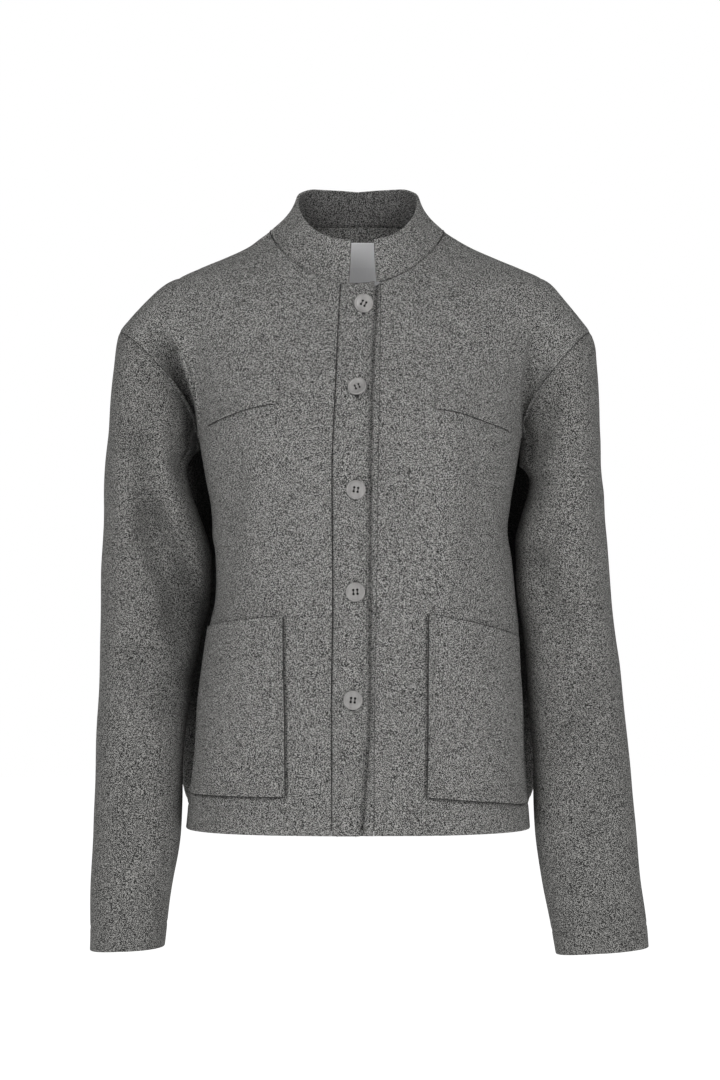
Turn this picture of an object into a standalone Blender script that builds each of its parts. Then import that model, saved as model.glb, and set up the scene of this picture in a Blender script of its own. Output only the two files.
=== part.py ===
# A hip-length boxy wool jacket with a low standing collar, drop-shoulder sleeves,
# a right-over-left button band, two breast welts and two patch pockets.
# It is filled out as if worn, with nobody in it.
#
# Sizes are in millimetres here and become metres when a mesh is written.
# The front faces -Y and the wearer's right is at -X. The origin lies midway
# between the two neck points, in the plane of the shoulder line, which is
# where a wearer's shoulders carry the jacket.

import math
from collections import namedtuple

import bmesh
import bpy
from mathutils import Vector

MM = 0.001
RIGHT = -1
LEFT = 1
FRONT = -1
BACK = 1

# Cloth
CLOTH = 2.0             # one layer of brushed wool
BAND_CLOTH = 3.0        # two pressed layers: collar and button bands
TURN_UP = 1.5           # extra wall where a hem or cuff is turned up
SEAM_GAP = 0.36         # clear air between two pieces at a seam
WELD = 0.004            # points closer than this are one point

# Heights
NECK_DROP = 54.0        # front neckline below the neck points
NECK_RISE = 12.0        # back neckline above them
TIP_Z = -98.0           # where the armhole meets the shoulder line
UNDERARM_Z = -225.0
HEM_Z = -592.0
HEM_TURN = 25.0
CUFF_TURN = 23.0

# Neck and collar
NECK_HALF = 84.0
NECK_CENTRE = -3.0
NECK_CURVE = 1.5        # how squarely the neckline dips
COLLAR_HALF = 60.0      # half width of the collar's top edge
COLLAR_CENTRE = -1.5
COLLAR_FRONT = 62.0
COLLAR_BACK = 50.0
COLLAR_HOLLOW = 2.5     # how far the stand curves in between its edges
COLLAR_END = {RIGHT: (-12.8, -10.8), LEFT: (18.7, 15.8)}   # x at seam, x at top

# Armhole, seen from the front
ARMHOLE_LEAN = 1.3      # above 1 keeps the upper part of the seam flat
BODY_ARM_BLEND = 6.0    # higher makes the valley beside the chest sharper
EASE_LENGTH = 80.0      # the sleeve takes up the armhole's shape over this
FLARE_START = 0.2       # the back's flare starts at this share of its depth,
FLARE_FULL = 0.55       # is full at this one
FLARE_END = 0.98        # and ends before the middle of the back
FLARE_LAG = 200.0       # beyond its fullest it starts lower and lower
UNDERARM_STEP = 14.0    # an extra row of points this far below the underarm
SLEEVE_TOP = -44.0      # above this the body's own section is the shoulder line

# Mesh
NECK_COLUMNS = 5
SHOULDER_COLUMNS = 8
UPPER_ROWS = 11
LOWER_ROWS = 11
SLEEVE_ROWS = 18
COLLAR_SPANS = 4
TURN_STEP = 1.0         # half the height of the step at a turn-up's edge
SAMPLES = 90
SHARP_ANGLE = 40.0      # degrees; sharper edges are shaded as creases

# Sections of the body at each height: the half width with its middle, the
# depth ahead of and behind the shoulder plane, and how square the corners are.
# Above the shoulder's bend the half width is the shoulder line itself.
# Below the underarm the back flares out this much more behind the sleeves.
Section = namedtuple("Section", "z half middle front back square flare", defaults=[0])
BODY = [
    Section(12, 77, -3, 4, 55, 2.0),
    Section(0, 84, -3, 12, 61, 2.0),
    Section(-12, 110, -1, 37.5, 67, 2.0),
    Section(-24, 136, 0, 48, 73.5, 2.0),
    Section(-34, 160, 0, 57, 79, 2.0),
    Section(-44, 181, 0, 64.5, 84, 2.05),
    Section(-54, 190, 0, 72, 88, 2.1),
    Section(-66, 190, 0, 80, 92.5, 2.15),
    Section(-90, 184, 0, 93, 101, 2.2),
    Section(-120, 176, 0, 107, 108, 2.25),
    Section(-150, 169, 0, 119, 112, 2.3),
    Section(-180, 163, 0, 127, 113, 2.3),
    Section(-225, 158, 0, 133, 112, 2.35),
    Section(-238, 155.5, 0.5, 133, 110.5, 2.4, 24),
    Section(-250, 153, 1, 132.5, 109, 2.4, 35),
    Section(-295, 146.5, 0.5, 131, 104, 2.4, 34),
    Section(-325, 147.5, 3.5, 130, 101, 2.4, 30),
    Section(-365, 150, 5, 128.5, 100, 2.4, 28),
    Section(-390, 154, 4, 127.5, 100.5, 2.4, 29),
    Section(-465, 161, 1, 126, 106, 2.4, 33),
    Section(-540, 167, -1, 127, 112, 2.4, 33),
    Section(-592, 172, -2, 128, 114, 2.4, 30),
]

# Sections of each sleeve: its outer and inner side as distances from the
# middle of the body, and its depth ahead of and behind the shoulder plane.
# The first rows are the rounded top of the shoulder, part of the body's cut.
Arm = namedtuple("Arm", "z outer inner front back")
SLEEVE = {
    RIGHT: [
        Arm(-42, 180, 150, 0, 0),
        Arm(-50, 195, 146, 20, 20),
        Arm(-63, 210, 142, 31, 32),
        Arm(-85, 230, 141, 43, 45),
        Arm(-100, 241, 141, 48, 51),
        Arm(-135, 246, 143, 52, 56),
        Arm(-165, 249, 146, 54, 59),
        Arm(-200, 251, 150, 56, 60),
        Arm(-225, 253, 158, 57, 60),
        Arm(-238, 253.6, 164, 57, 59.5),
        Arm(-250, 254.3, 168, 57, 59),
        Arm(-273, 255.5, 162, 57, 58),
        Arm(-300, 256.7, 155, 57, 56),
        Arm(-324, 257.5, 150.5, 58, 54),
        Arm(-365, 259, 151, 59, 50),
        Arm(-405, 260, 158, 59, 46),
        Arm(-465, 261, 170, 60, 41),
        Arm(-525, 263.5, 176, 60, 37),
        Arm(-592, 265, 178, 60, 34),
        Arm(-645, 267.5, 185.5, 59, 33),
        Arm(-720, 269.5, 197, 58, 34),
    ],
    LEFT: [
        Arm(-42, 180, 150, 0, 0),
        Arm(-50, 191, 146, 20, 20),
        Arm(-63, 202, 142, 31, 32),
        Arm(-85, 220, 141, 43, 45),
        Arm(-100, 231, 141, 48, 51),
        Arm(-117, 236, 143, 51, 54),
        Arm(-165, 238, 146, 55, 60),
        Arm(-200, 239.5, 150, 57, 61),
        Arm(-225, 240.5, 158, 58, 61),
        Arm(-238, 241.5, 163.5, 58, 60.5),
        Arm(-250, 242.4, 168, 58, 59.5),
        Arm(-278, 244.5, 163, 58, 57.5),
        Arm(-308, 246.8, 157, 58, 55),
        Arm(-345, 250, 155.5, 58, 52),
        Arm(-405, 256, 163, 57, 47),
        Arm(-465, 263, 168.5, 55, 42),
        Arm(-525, 269, 172, 53, 38),
        Arm(-592, 274.5, 174, 51, 35),
        Arm(-645, 280, 181, 49, 32),
        Arm(-720, 288.5, 196, 47, 31),
    ],
}
CUFF_Z = {RIGHT: -711.0, LEFT: -714.0}
CUFF_TILT = {RIGHT: -2.0, LEFT: 3.5}    # the outer side is this much higher

# Top edge of the collar: angle round from the middle of the front.
Crest = namedtuple("Crest", "angle z")
COLLAR_TOP = [
    Crest(0, -11),
    Crest(26, -6),
    Crest(46, 3),
    Crest(56, 10),
    Crest(75, 24),
    Crest(90, 36),
    Crest(110, 44),
    Crest(135, 49),
    Crest(160, 48),
    Crest(180, 45.5),
]

# Button bands: the upper band runs from its seam to its free edge, over the
# lower band, which runs from under it to a seam of its own.
Band = namedtuple("Band", "z seam edge under_seam")
BANDS = [
    Band(-54, -19.5, 14.5, 20.5),
    Band(-100, -22, 12.3, 20),
    Band(-150, -24, 9.8, 19.3),
    Band(-245, -27.5, 7.8, 17.5),
    Band(-365, -26.8, 7.6, 16),
    Band(-455, -28, 7.3, 14.3),
    Band(-592, -28, 0, 13.5),
]
UNDER_BAND_START = 5.0      # the lower band starts this far past the upper seam
BAND_GAP = 0.4              # between a band and the front that it is sewn to
BAND_COLUMNS = 3
OVERLAP_LIFT = 1.7          # one front rises and the other sinks this much
OVERLAP_REACH = 75.0
UPPER_BAND_FACE = 2.2       # the bands' outer faces, from the body's surface
LOWER_BAND_FACE = -1.4

# Buttons
BUTTON_RADIUS = 9.5
BUTTON_HEIGHT = 3.0
BUTTON_RIM = 1.6
BUTTON_DISH = 0.8
BUTTON_FOOT = 1.2       # the underside is this much smaller all round
BUTTON_CREST = 0.7      # the rim's top is this far in
BUTTON_SIDES = 20
Place = namedtuple("Place", "x z")
BUTTONS = [
    Place(3.4, -72),
    Place(-2.4, -157),
    Place(-3.9, -256),
    Place(-4.4, -355),
    Place(-6.8, -460),
]

# Patch pockets: inner edge at top and bottom, corner heights.
Pocket = namedtuple("Pocket", "side x_top x_bottom top_in top_out low_in low_out")
POCKETS = {
    "pocket_right": Pocket(RIGHT, -73.8, -71.8, -378, -389, -554.5, -558),
    "pocket_left": Pocket(LEFT, 66, 64.5, -377, -393, -555, -566),
}
POCKET_WIDTH = 130.0
POCKET_CORNER = 9.0         # rounding at the lower outer corner
CORNER_SHARE = 1 / 6        # of the width, over which it rises
POCKET_COLUMNS = 12
POCKET_ROWS = 10
POCKET_STAND = 1.4          # extra fullness in the middle
STAND_START = 0.1           # where up the pocket the fullness starts
STAND_REACH = 0.8           # and how much of its height it takes
PATCH_GAP = 0.55            # between a patch and the front below it

# Breast welts: slim strips that slant down to the armhole.
Welt = namedtuple("Welt", "side inner outer low drop bend height")
WELTS = {
    "welt_right": Welt(RIGHT, 77, 150, -173, 20, 1.7, 22),
    "welt_left": Welt(LEFT, 72, 148, -178, 21, 1.5, 22),
}
WELT_CLOTH = 1.6
WELT_COLUMNS = 9
WELT_ROWS = 3

# Neck label, blank, on the inside of the back.
LABEL_WIDTH = 62.0
LABEL_TOP = -2.0
LABEL_HEIGHT = 48.0
LABEL_CLOTH = 1.0
LABEL_GAP = 1.2             # the back's inner facets stand in from its curve
LABEL_COLUMNS = 6
LABEL_ROWS = 4

# The largest folds, each a trough along a line on the front or the back.
Fold = namedtuple("Fold", "piece face x1 z1 x2 z2 width depth")
FOLDS = [
    Fold("body", FRONT, -194, -104, -176, -160, 12, 9),
    Fold("body", FRONT, 190, -112, 174, -165, 13, 6),
    Fold("body", BACK, -192, -110, -176, -160, 14, 6),
    Fold("body", BACK, 188, -110, 174, -160, 14, 6),
    Fold("sleeve", FRONT, -206, -308, -168, -375, 15, 9),
    Fold("sleeve", FRONT, -222, -420, -190, -470, 18, 6),
    Fold("sleeve", FRONT, 176, -325, 200, -380, 14, 7),
    Fold("sleeve", FRONT, 190, -176, 172, -225, 11, 6),
    Fold("sleeve", FRONT, 232, -450, 205, -500, 17, 5),
    Fold("sleeve", BACK, -225, -335, -180, -380, 15, 8),
    Fold("sleeve", BACK, -230, -400, -190, -385, 14, 6),
    Fold("sleeve", BACK, 222, -340, 182, -385, 15, 8),
    Fold("sleeve", BACK, 235, -410, 200, -400, 14, 6),
    Fold("body", BACK, -95, -300, -40, -345, 22, 5),
    Fold("body", BACK, 92, -310, 45, -360, 22, 5),
]

# Finishes: colour, roughness, metallic.
WOOL = ((0.160, 0.162, 0.157), 0.92, 0.0)
WOOL_SLEEVE = ((0.140, 0.140, 0.137), 0.92, 0.0)
WOOL_POCKET = ((0.175, 0.176, 0.172), 0.92, 0.0)
SHELL = ((0.44, 0.43, 0.41), 0.30, 0.0)
SATIN = ((0.36, 0.36, 0.37), 0.40, 0.0)


# Curves and tables

def through(table, column, key="z"):
    """A smooth function through one column of a table, with no overshoot."""
    rows = sorted(table, key=lambda row: getattr(row, key))
    keys = [float(getattr(row, key)) for row in rows]
    values = [float(getattr(row, column)) for row in rows]
    steps = [b - a for a, b in zip(keys, keys[1:])]
    rises = [(b - a) / step for a, b, step in zip(values, values[1:], steps)]
    slopes = [rises[0]]
    for before, after in zip(rises, rises[1:]):
        same_way = before * after > 0
        slopes.append(2 * before * after / (before + after) if same_way else 0.0)
    slopes.append(rises[-1])

    def value(at):
        at = min(max(at, keys[0]), keys[-1])
        i = 0
        while i < len(steps) - 1 and at > keys[i + 1]:
            i += 1
        t = (at - keys[i]) / steps[i]
        start = values[i] * (1 + 2 * t) + slopes[i] * steps[i] * t
        end = values[i + 1] * (3 - 2 * t) - slopes[i + 1] * steps[i] * (1 - t)
        return start * (1 - t) ** 2 + end * t ** 2

    return value


def along(points, distances):
    """The points at the given distances along a line of points."""
    found = []
    i = 0
    passed = 0.0
    for distance in distances:
        length = (points[i + 1] - points[i]).length
        while i < len(points) - 2 and passed + length < distance:
            passed += length
            i += 1
            length = (points[i + 1] - points[i]).length
        found.append(points[i].lerp(points[i + 1], (distance - passed) / length))
    return found


def evenly(points, count):
    """The same line with count equal steps."""
    total = sum((b - a).length for a, b in zip(points, points[1:]))
    return along(points, [total * k / count for k in range(count + 1)])


def mix(a, b, share):
    return a + (b - a) * share


def smooth(share):
    """A soft step from 0 to 1."""
    share = min(max(share, 0.0), 1.0)
    return share * share * (3 - 2 * share)


def power(value, exponent):
    """A power that keeps the sign."""
    return math.copysign(abs(value) ** exponent, value)


half = through(BODY, "half")
middle = through(BODY, "middle")
square = through(BODY, "square")
flare = through(BODY, "flare")
body_deep = {FRONT: through(BODY, "front"), BACK: through(BODY, "back")}
outer = {side: through(SLEEVE[side], "outer") for side in SLEEVE}
inner = {side: through(SLEEVE[side], "inner") for side in SLEEVE}
arm_deep = {
    side: {FRONT: through(SLEEVE[side], "front"), BACK: through(SLEEVE[side], "back")}
    for side in SLEEVE
}
band_seam = through(BANDS, "seam")
band_edge = through(BANDS, "edge")
under_seam = through(BANDS, "under_seam")
collar_top = through(COLLAR_TOP, "z", key="angle")


# The jacket's outer surface

def depth(x, z, face):
    """How far the surface stands from the shoulder plane at x, z."""
    reach = abs(x - middle(z)) / half(z)
    exponent = square(z)
    body = 0.0
    if reach < 1:
        body = body_deep[face](z) * (1 - reach ** exponent) ** (1 / exponent)
    side = LEFT if x > 0 else RIGHT
    out, inn = outer[side](z), inner[side](z)
    across = (2 * abs(x) - out - inn) / (out - inn)
    arm = 0.0
    if abs(across) < 1:
        arm = arm_deep[side][face](z) * math.sqrt(1 - across * across)
    if body + arm == 0.0:
        return 0.0
    blend = BODY_ARM_BLEND
    return (body ** blend + arm ** blend) ** (1 / blend)


def on_surface(x, z, face):
    return Vector((x, face * depth(x, z, face), z))


def surface_normal(x, z, face, step=0.5):
    """The outward normal where the surface is not edge on."""
    across = on_surface(x + step, z, face) - on_surface(x - step, z, face)
    up = on_surface(x, z + step, face) - on_surface(x, z - step, face)
    return across.cross(up).normalized() * -face


def ring(side, face, x_start, z):
    """The body's section on one side, from x_start round to the side seam."""
    wide, mid, exponent = half(z), middle(z), square(z)
    start = math.asin(power((x_start - mid) * side / wide, exponent / 2))
    points = []
    for k in range(SAMPLES + 1):
        turn = mix(start, math.pi / 2, k / SAMPLES)
        x = mid + side * wide * power(math.sin(turn), 2 / exponent)
        share = max(math.cos(turn), 0.0) ** (2 / exponent)
        if face == BACK:
            x += side * back_flare(share, z)
        points.append(Vector((x, face * body_deep[face](z) * share, z)))
    points[-1].y = 0.0
    return points


def back_flare(share, z):
    """How far the back stands out at a share of its depth."""
    rising = smooth((share - FLARE_START) / (FLARE_FULL - FLARE_START))
    fading = smooth((FLARE_END - share) / (FLARE_END - FLARE_FULL))
    return flare(z + FLARE_LAG * max(share - FLARE_FULL, 0.0)) * rising * fading


def neckline(angle, face):
    """A point of the neck seam; the angle runs from -90 to 90 across a face."""
    x = NECK_CENTRE + NECK_HALF * math.sin(angle)
    height = -NECK_DROP if face == FRONT else NECK_RISE
    z = height * max(math.cos(angle), 0.0) ** NECK_CURVE
    return on_surface(x, z, face)


def neck_angle(x):
    return math.asin((x - NECK_CENTRE) / NECK_HALF)


def shoulder_line(side):
    points = []
    for k in range(SAMPLES + 1):
        z = TIP_Z * k / SAMPLES
        reach = side * middle(z) + half(z)
        if z < SLEEVE_TOP:
            reach = max(reach, outer[side](z))
        points.append(Vector((side * reach, 0.0, z)))
    return points


def top_edge(side, face, x_start):
    """Neckline and shoulder line of one panel."""
    first = neck_angle(x_start)
    neck = []
    for k in range(NECK_COLUMNS):
        angle = mix(first, side * math.pi / 2, k / NECK_COLUMNS)
        neck.append(neckline(angle, face))
    return neck + evenly(shoulder_line(side), SHOULDER_COLUMNS)


def armhole_height(angle):
    """Height of the armhole seam; 0 is its top and pi the underarm."""
    leaned = math.pi * (angle / math.pi) ** ARMHOLE_LEAN
    return TIP_Z + (UNDERARM_Z - TIP_Z) * (1 - math.cos(leaned)) / 2


def sleeve_x(side, angle, z):
    out, inn = outer[side](z), inner[side](z)
    return side * ((out + inn) / 2 + (out - inn) / 2 * math.cos(angle))


def sleeve_y(side, angle, face, z):
    ahead, behind = arm_deep[side][FRONT](z), arm_deep[side][BACK](z)
    return (behind - ahead) / 2 + face * (behind + ahead) / 2 * math.sin(angle)


def armhole(side, angle, face):
    z = armhole_height(angle)
    return on_surface(sleeve_x(side, angle, z), z, face)


def upper_panel(side, face, edge_x):
    """Rows from the underarm up to the neckline and shoulder line."""
    columns = NECK_COLUMNS + SHOULDER_COLUMNS
    low = evenly(ring(side, face, edge_x(UNDERARM_Z), UNDERARM_Z), columns)
    high = top_edge(side, face, edge_x(-NECK_DROP))
    rows = [low]
    for i in range(1, UPPER_ROWS):
        share = math.sin(math.pi / 2 * i / UPPER_ROWS)
        seam = armhole(side, math.pi * (1 - i / UPPER_ROWS), face)
        seam_shift = seam - low[-1].lerp(high[-1], share)
        row = []
        for j in range(columns + 1):
            u = j / columns
            point = low[j].lerp(high[j], share) + seam_shift * u ** 3
            edge_shift = edge_x(point.z) - low[0].lerp(high[0], share).x
            x = point.x + edge_shift * (1 - u) ** 3
            row.append(on_surface(x, point.z, face))
        rows.append(row)
    rows.append(high)
    return rows


def neck_dip(x):
    """Height of the front neckline at x."""
    return -NECK_DROP * math.cos(neck_angle(x)) ** NECK_CURVE


def lower_heights():
    """Rows from the hem to the underarm, with a step at the hem's turn-up."""
    turn = HEM_Z + HEM_TURN
    heights = [HEM_Z, turn - TURN_STEP]
    for k in range(LOWER_ROWS):
        heights.append(mix(turn + TURN_STEP, UNDERARM_Z, k / LOWER_ROWS))
    return heights + [UNDERARM_Z - UNDERARM_STEP, UNDERARM_Z]


def lower_panel(side, face, edge_x):
    columns = NECK_COLUMNS + SHOULDER_COLUMNS
    return [evenly(ring(side, face, edge_x(z), z), columns) for z in lower_heights()]


def sleeve_rings(side):
    """Rings from the armhole seam down to the cuff."""
    spokes = [(math.pi * (1 - k / UPPER_ROWS), FRONT) for k in range(UPPER_ROWS + 1)]
    spokes += [(math.pi * k / UPPER_ROWS, BACK) for k in range(1, UPPER_ROWS)]
    rings = []
    for i in range(SLEEVE_ROWS + 3):
        points = []
        for angle, face in spokes:
            points.append(sleeve_point(side, angle, face, i))
        rings.append(points)
    return rings


def sleeve_point(side, angle, face, row):
    start = armhole(side, angle, face)
    cuff = CUFF_Z[side] + CUFF_TILT[side] * math.cos(angle)
    turn = cuff + CUFF_TURN
    ends = {SLEEVE_ROWS + 1: turn - 2 * TURN_STEP, SLEEVE_ROWS + 2: cuff}
    z = ends.get(row, mix(start.z, turn, row / SLEEVE_ROWS))
    fade = min((start.z - z) / EASE_LENGTH, 1.0)
    held = (1 - fade) ** 2 * (1 + 2 * fade)
    shift = start.y - sleeve_y(side, angle, face, start.z)
    y = sleeve_y(side, angle, face, z) + shift * held
    return Vector((sleeve_x(side, angle, z), y, z))


# One welded surface, cut into pieces at the seams

def add_patch(surface, layer, number, rows, closed=False):
    made = [[surface.verts.new(point * MM) for point in row] for row in rows]
    width = len(rows[0])
    for low, high in zip(made, made[1:]):
        for j in range(width if closed else width - 1):
            k = (j + 1) % width
            corners = (low[j], low[k], high[k], high[j])
            surface.faces.new(corners)[layer] = number


def fold_depth(point, piece, face):
    """How deep the folds press the cloth in at a point."""
    total = 0.0
    for fold in FOLDS:
        if fold.piece != piece or fold.face != face:
            continue
        start = Vector((fold.x1, fold.z1))
        run = Vector((fold.x2, fold.z2)) - start
        here = Vector((point.x, point.z)) - start
        share = min(max(here.dot(run) / run.length_squared, 0.0), 1.0)
        away = (here - run * share).length / fold.width
        total += fold.depth * math.exp(-away * away)
    return total


def body_surface(pieces):
    """The whole outer surface, with each face marked with its piece."""
    surface = bmesh.new()
    layer = surface.faces.layers.int.new("piece")

    def centre_back(z):
        return 0.0

    for side, edge_x, front, sleeve in (
        (RIGHT, band_seam, "front_right", "sleeve_right"),
        (LEFT, under_seam, "front_left", "sleeve_left"),
    ):
        for face, edge, name in ((FRONT, edge_x, front), (BACK, centre_back, "back")):
            number = pieces.index(name)
            rows = lower_panel(side, face, edge)[:-1] + upper_panel(side, face, edge)
            add_patch(surface, layer, number, rows)
        rings = sleeve_rings(side)
        add_patch(surface, layer, pieces.index(sleeve), rings, closed=True)
    bmesh.ops.remove_doubles(surface, verts=surface.verts, dist=WELD * MM)
    bmesh.ops.recalc_face_normals(surface, faces=surface.faces)
    foremost = min(surface.faces, key=lambda face: face.calc_center_median().y)
    if foremost.normal.y > 0:
        bmesh.ops.reverse_faces(surface, faces=surface.faces)
    press_folds(surface, layer, pieces)
    lift_overlap(surface)
    bmesh.ops.triangulate(surface, faces=surface.faces, quad_method="SHORT_EDGE")
    surface.normal_update()
    return surface


def press_folds(surface, layer, pieces):
    surface.normal_update()
    moves = []
    for vert in surface.verts:
        kinds = {pieces[face[layer]].split("_")[0] for face in vert.link_faces}
        if "sleeve" in kinds and len(kinds) > 1:
            continue
        piece = "sleeve" if "sleeve" in kinds else "body"
        point = vert.co / MM
        face = FRONT if vert.normal.y < 0 else BACK
        depth_here = fold_depth(point, piece, face)
        moves.append((vert, vert.normal * -depth_here * MM))
    for vert, move in moves:
        vert.co += move


def lift_overlap(surface):
    """Raises the right front over the left beside the button bands."""
    for vert in surface.verts:
        x = vert.co.x / MM
        if vert.co.y > 0 or abs(x) > OVERLAP_REACH:
            continue
        vert.co.y += math.copysign(overlap_lift(x), x) * MM


def overlap_lift(x):
    return OVERLAP_LIFT * smooth(1 - abs(x) / OVERLAP_REACH)


def wall_at(point):
    """Thickness of the cloth: more where the hem and cuffs are turned up."""
    z = point.z / MM
    side = LEFT if point.x > 0 else RIGHT
    on_sleeve = abs(point.x) / MM > inner[side](z) - 1 if z < UNDERARM_Z else False
    edge = CUFF_Z[side] + CUFF_TURN if on_sleeve else HEM_Z + HEM_TURN
    return CLOTH + (TURN_UP if z < edge else 0.0)


def seam_shift(vert, own, layer):
    """Moves a point on a seam back into its own piece."""
    mine = [f.calc_center_median() - vert.co for f in vert.link_faces if f[layer] == own]
    rest = [f.calc_center_median() - vert.co for f in vert.link_faces if f[layer] != own]
    if not rest:
        return Vector()
    toward = sum(mine, Vector()) / len(mine) - sum(rest, Vector()) / len(rest)
    toward -= vert.normal * toward.dot(vert.normal)
    return toward.normalized() * (SEAM_GAP / 2 * MM)


def cut_piece(surface, number):
    """One closed solid of cloth from the faces of one piece."""
    layer = surface.faces.layers.int["piece"]
    solid = bmesh.new()
    outside, inside = {}, {}
    faces = [face for face in surface.faces if face[layer] == number]
    for vert in {vert for face in faces for vert in face.verts}:
        point = vert.co + seam_shift(vert, number, layer)
        outside[vert.index] = solid.verts.new(point)
        inside[vert.index] = solid.verts.new(point - vert.normal * wall_at(point) * MM)
    for face in faces:
        loop = [vert.index for vert in face.verts]
        solid.faces.new([outside[i] for i in loop])
        solid.faces.new([inside[i] for i in reversed(loop)])
        for edge in face.edges:
            if sum(1 for f in edge.link_faces if f[layer] == number) > 1:
                continue
            a, b = edge_order(face, edge)
            if a < b:
                solid.faces.new((outside[b], outside[a], inside[b]))
                solid.faces.new((outside[a], inside[a], inside[b]))
            else:
                solid.faces.new((outside[b], outside[a], inside[a]))
                solid.faces.new((outside[b], inside[a], inside[b]))
    return solid


def edge_order(face, edge):
    """The edge's two points in the order in which the face goes round."""
    loop = next(loop for loop in face.loops if loop.edge == edge)
    return loop.vert.index, loop.link_loop_next.vert.index


# Pieces laid on the body

def grid_normals(rows):
    """Normals of a grid of points, from the steps to its neighbours."""
    last_row, last_column = len(rows) - 1, len(rows[0]) - 1
    normals = []
    for i, row in enumerate(rows):
        line = []
        for j in range(len(row)):
            along_row = row[min(j + 1, last_column)] - row[max(j - 1, 0)]
            up = rows[min(i + 1, last_row)][j] - rows[max(i - 1, 0)][j]
            line.append(along_row.cross(up).normalized())
        normals.append(line)
    return normals


def slab(rows, normals, low, high):
    """A closed solid between two offsets of a grid of points."""
    solid = bmesh.new()
    height, width = len(rows), len(rows[0])

    def layer(offset):
        made = []
        for i in range(height):
            line = []
            for j in range(width):
                rise = offset(i, j) if callable(offset) else offset
                line.append(solid.verts.new((rows[i][j] + normals[i][j] * rise) * MM))
            made.append(line)
        return made

    bottom, top = layer(low), layer(high)
    for i in range(height - 1):
        for j in range(width - 1):
            corners = ((i, j), (i, j + 1), (i + 1, j + 1), (i + 1, j))
            solid.faces.new([top[m][n] for m, n in corners])
            solid.faces.new([bottom[m][n] for m, n in reversed(corners)])
    edge = [(0, j) for j in range(width - 1)]
    edge += [(i, width - 1) for i in range(height - 1)]
    edge += [(height - 1, j) for j in range(width - 1, 0, -1)]
    edge += [(i, 0) for i in range(height - 1, 0, -1)]
    for (i, j), (m, n) in zip(edge, edge[1:] + edge[:1]):
        solid.faces.new((top[m][n], top[i][j], bottom[i][j], bottom[m][n]))
    bmesh.ops.recalc_face_normals(solid, faces=solid.faces)
    bmesh.ops.triangulate(solid, faces=solid.faces, quad_method="FIXED")
    return solid


def band(start_x, end_x, face_rise):
    """One button band, from the neckline to the hem."""
    places = [(z, 0.0) for z in lower_heights()[:-1]]
    for i in range(UPPER_ROWS + 1):
        share = math.sin(math.pi / 2 * i / UPPER_ROWS)
        places.append((mix(UNDERARM_Z, -NECK_DROP, share), share))
    rows, normals = [], []
    for height, share in places:
        row, line = [], []
        for k in range(BAND_COLUMNS + 1):
            x = mix(start_x(height), end_x(height), k / BAND_COLUMNS)
            z = height + share * (neck_dip(x) + NECK_DROP)
            row.append(on_surface(x, z, FRONT))
            line.append(surface_normal(x, z, FRONT))
        rows.append(row)
        normals.append(line)
    return slab(rows, normals, face_rise - BAND_CLOTH, face_rise)


def upper_band():
    def start(z):
        return band_seam(z) + BAND_GAP

    return band(start, band_edge, UPPER_BAND_FACE)


def lower_band():
    def start(z):
        return band_seam(z) + UNDER_BAND_START

    def end(z):
        return under_seam(z) - BAND_GAP

    return band(start, end, LOWER_BAND_FACE)


def pocket(spec):
    """A patch pocket that wraps round the front towards the side seam."""
    rows = []
    for i in range(POCKET_ROWS + 1):
        up = i / POCKET_ROWS
        row = []
        for j in range(POCKET_COLUMNS + 1):
            out = j / POCKET_COLUMNS
            low = mix(spec.low_in, spec.low_out, out)
            low += POCKET_CORNER * max(1 - (1 - out) / CORNER_SHARE, 0.0) ** 2
            z = mix(low, mix(spec.top_in, spec.top_out, out), up)
            edge = mix(spec.x_bottom, spec.x_top, up)
            line = ring(spec.side, FRONT, edge, z)
            row.append(along(line, [POCKET_WIDTH * out])[0])
        rows.append(row)
    normals = [[n * spec.side for n in line] for line in grid_normals(rows)]

    def face_rise(i, j):
        across = math.sin(math.pi * j / POCKET_COLUMNS)
        tall = math.sin(math.pi * (STAND_START + STAND_REACH * i / POCKET_ROWS))
        return PATCH_GAP + CLOTH + POCKET_STAND * across * tall

    return slab(rows, normals, PATCH_GAP, face_rise)


def welt(spec):
    rows, normals = [], []
    for i in range(WELT_ROWS + 1):
        row, line = [], []
        for j in range(WELT_COLUMNS + 1):
            out = j / WELT_COLUMNS
            x = spec.side * mix(spec.inner, spec.outer, out)
            z = spec.low - spec.drop * out ** spec.bend + spec.height * i / WELT_ROWS
            row.append(on_surface(x, z, FRONT))
            line.append(surface_normal(x, z, FRONT))
        rows.append(row)
        normals.append(line)
    return slab(rows, normals, PATCH_GAP, PATCH_GAP + WELT_CLOTH)


def label():
    rows, normals = [], []
    xs = [LABEL_WIDTH * (k / LABEL_COLUMNS - 0.5) for k in range(LABEL_COLUMNS + 1)]
    for i in range(LABEL_ROWS + 1):
        z = LABEL_TOP - LABEL_HEIGHT * (1 - i / LABEL_ROWS)
        rows.append([on_surface(x, z, BACK) for x in xs])
        normals.append([surface_normal(x, z, BACK) for x in xs])
    face = -CLOTH - LABEL_GAP
    return slab(rows, normals, face - LABEL_CLOTH, face)


def collar_turns():
    """Angles round the neck at which the panels and the collar have points."""
    quarter = math.pi / 2
    back = neck_angle(0)
    stops = [
        neck_angle(COLLAR_END[LEFT][0]),
        neck_angle(under_seam(-NECK_DROP)),
        quarter,
        math.pi - back,
        math.pi + quarter,
        2 * math.pi + neck_angle(band_seam(-NECK_DROP)),
        2 * math.pi + neck_angle(COLLAR_END[RIGHT][0]),
    ]
    turns = [stops[0]]
    for start, end in zip(stops[1:-2], stops[2:-1]):
        turns += [mix(start, end, k / NECK_COLUMNS) for k in range(NECK_COLUMNS)]
    return turns + stops[-2:]


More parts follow.
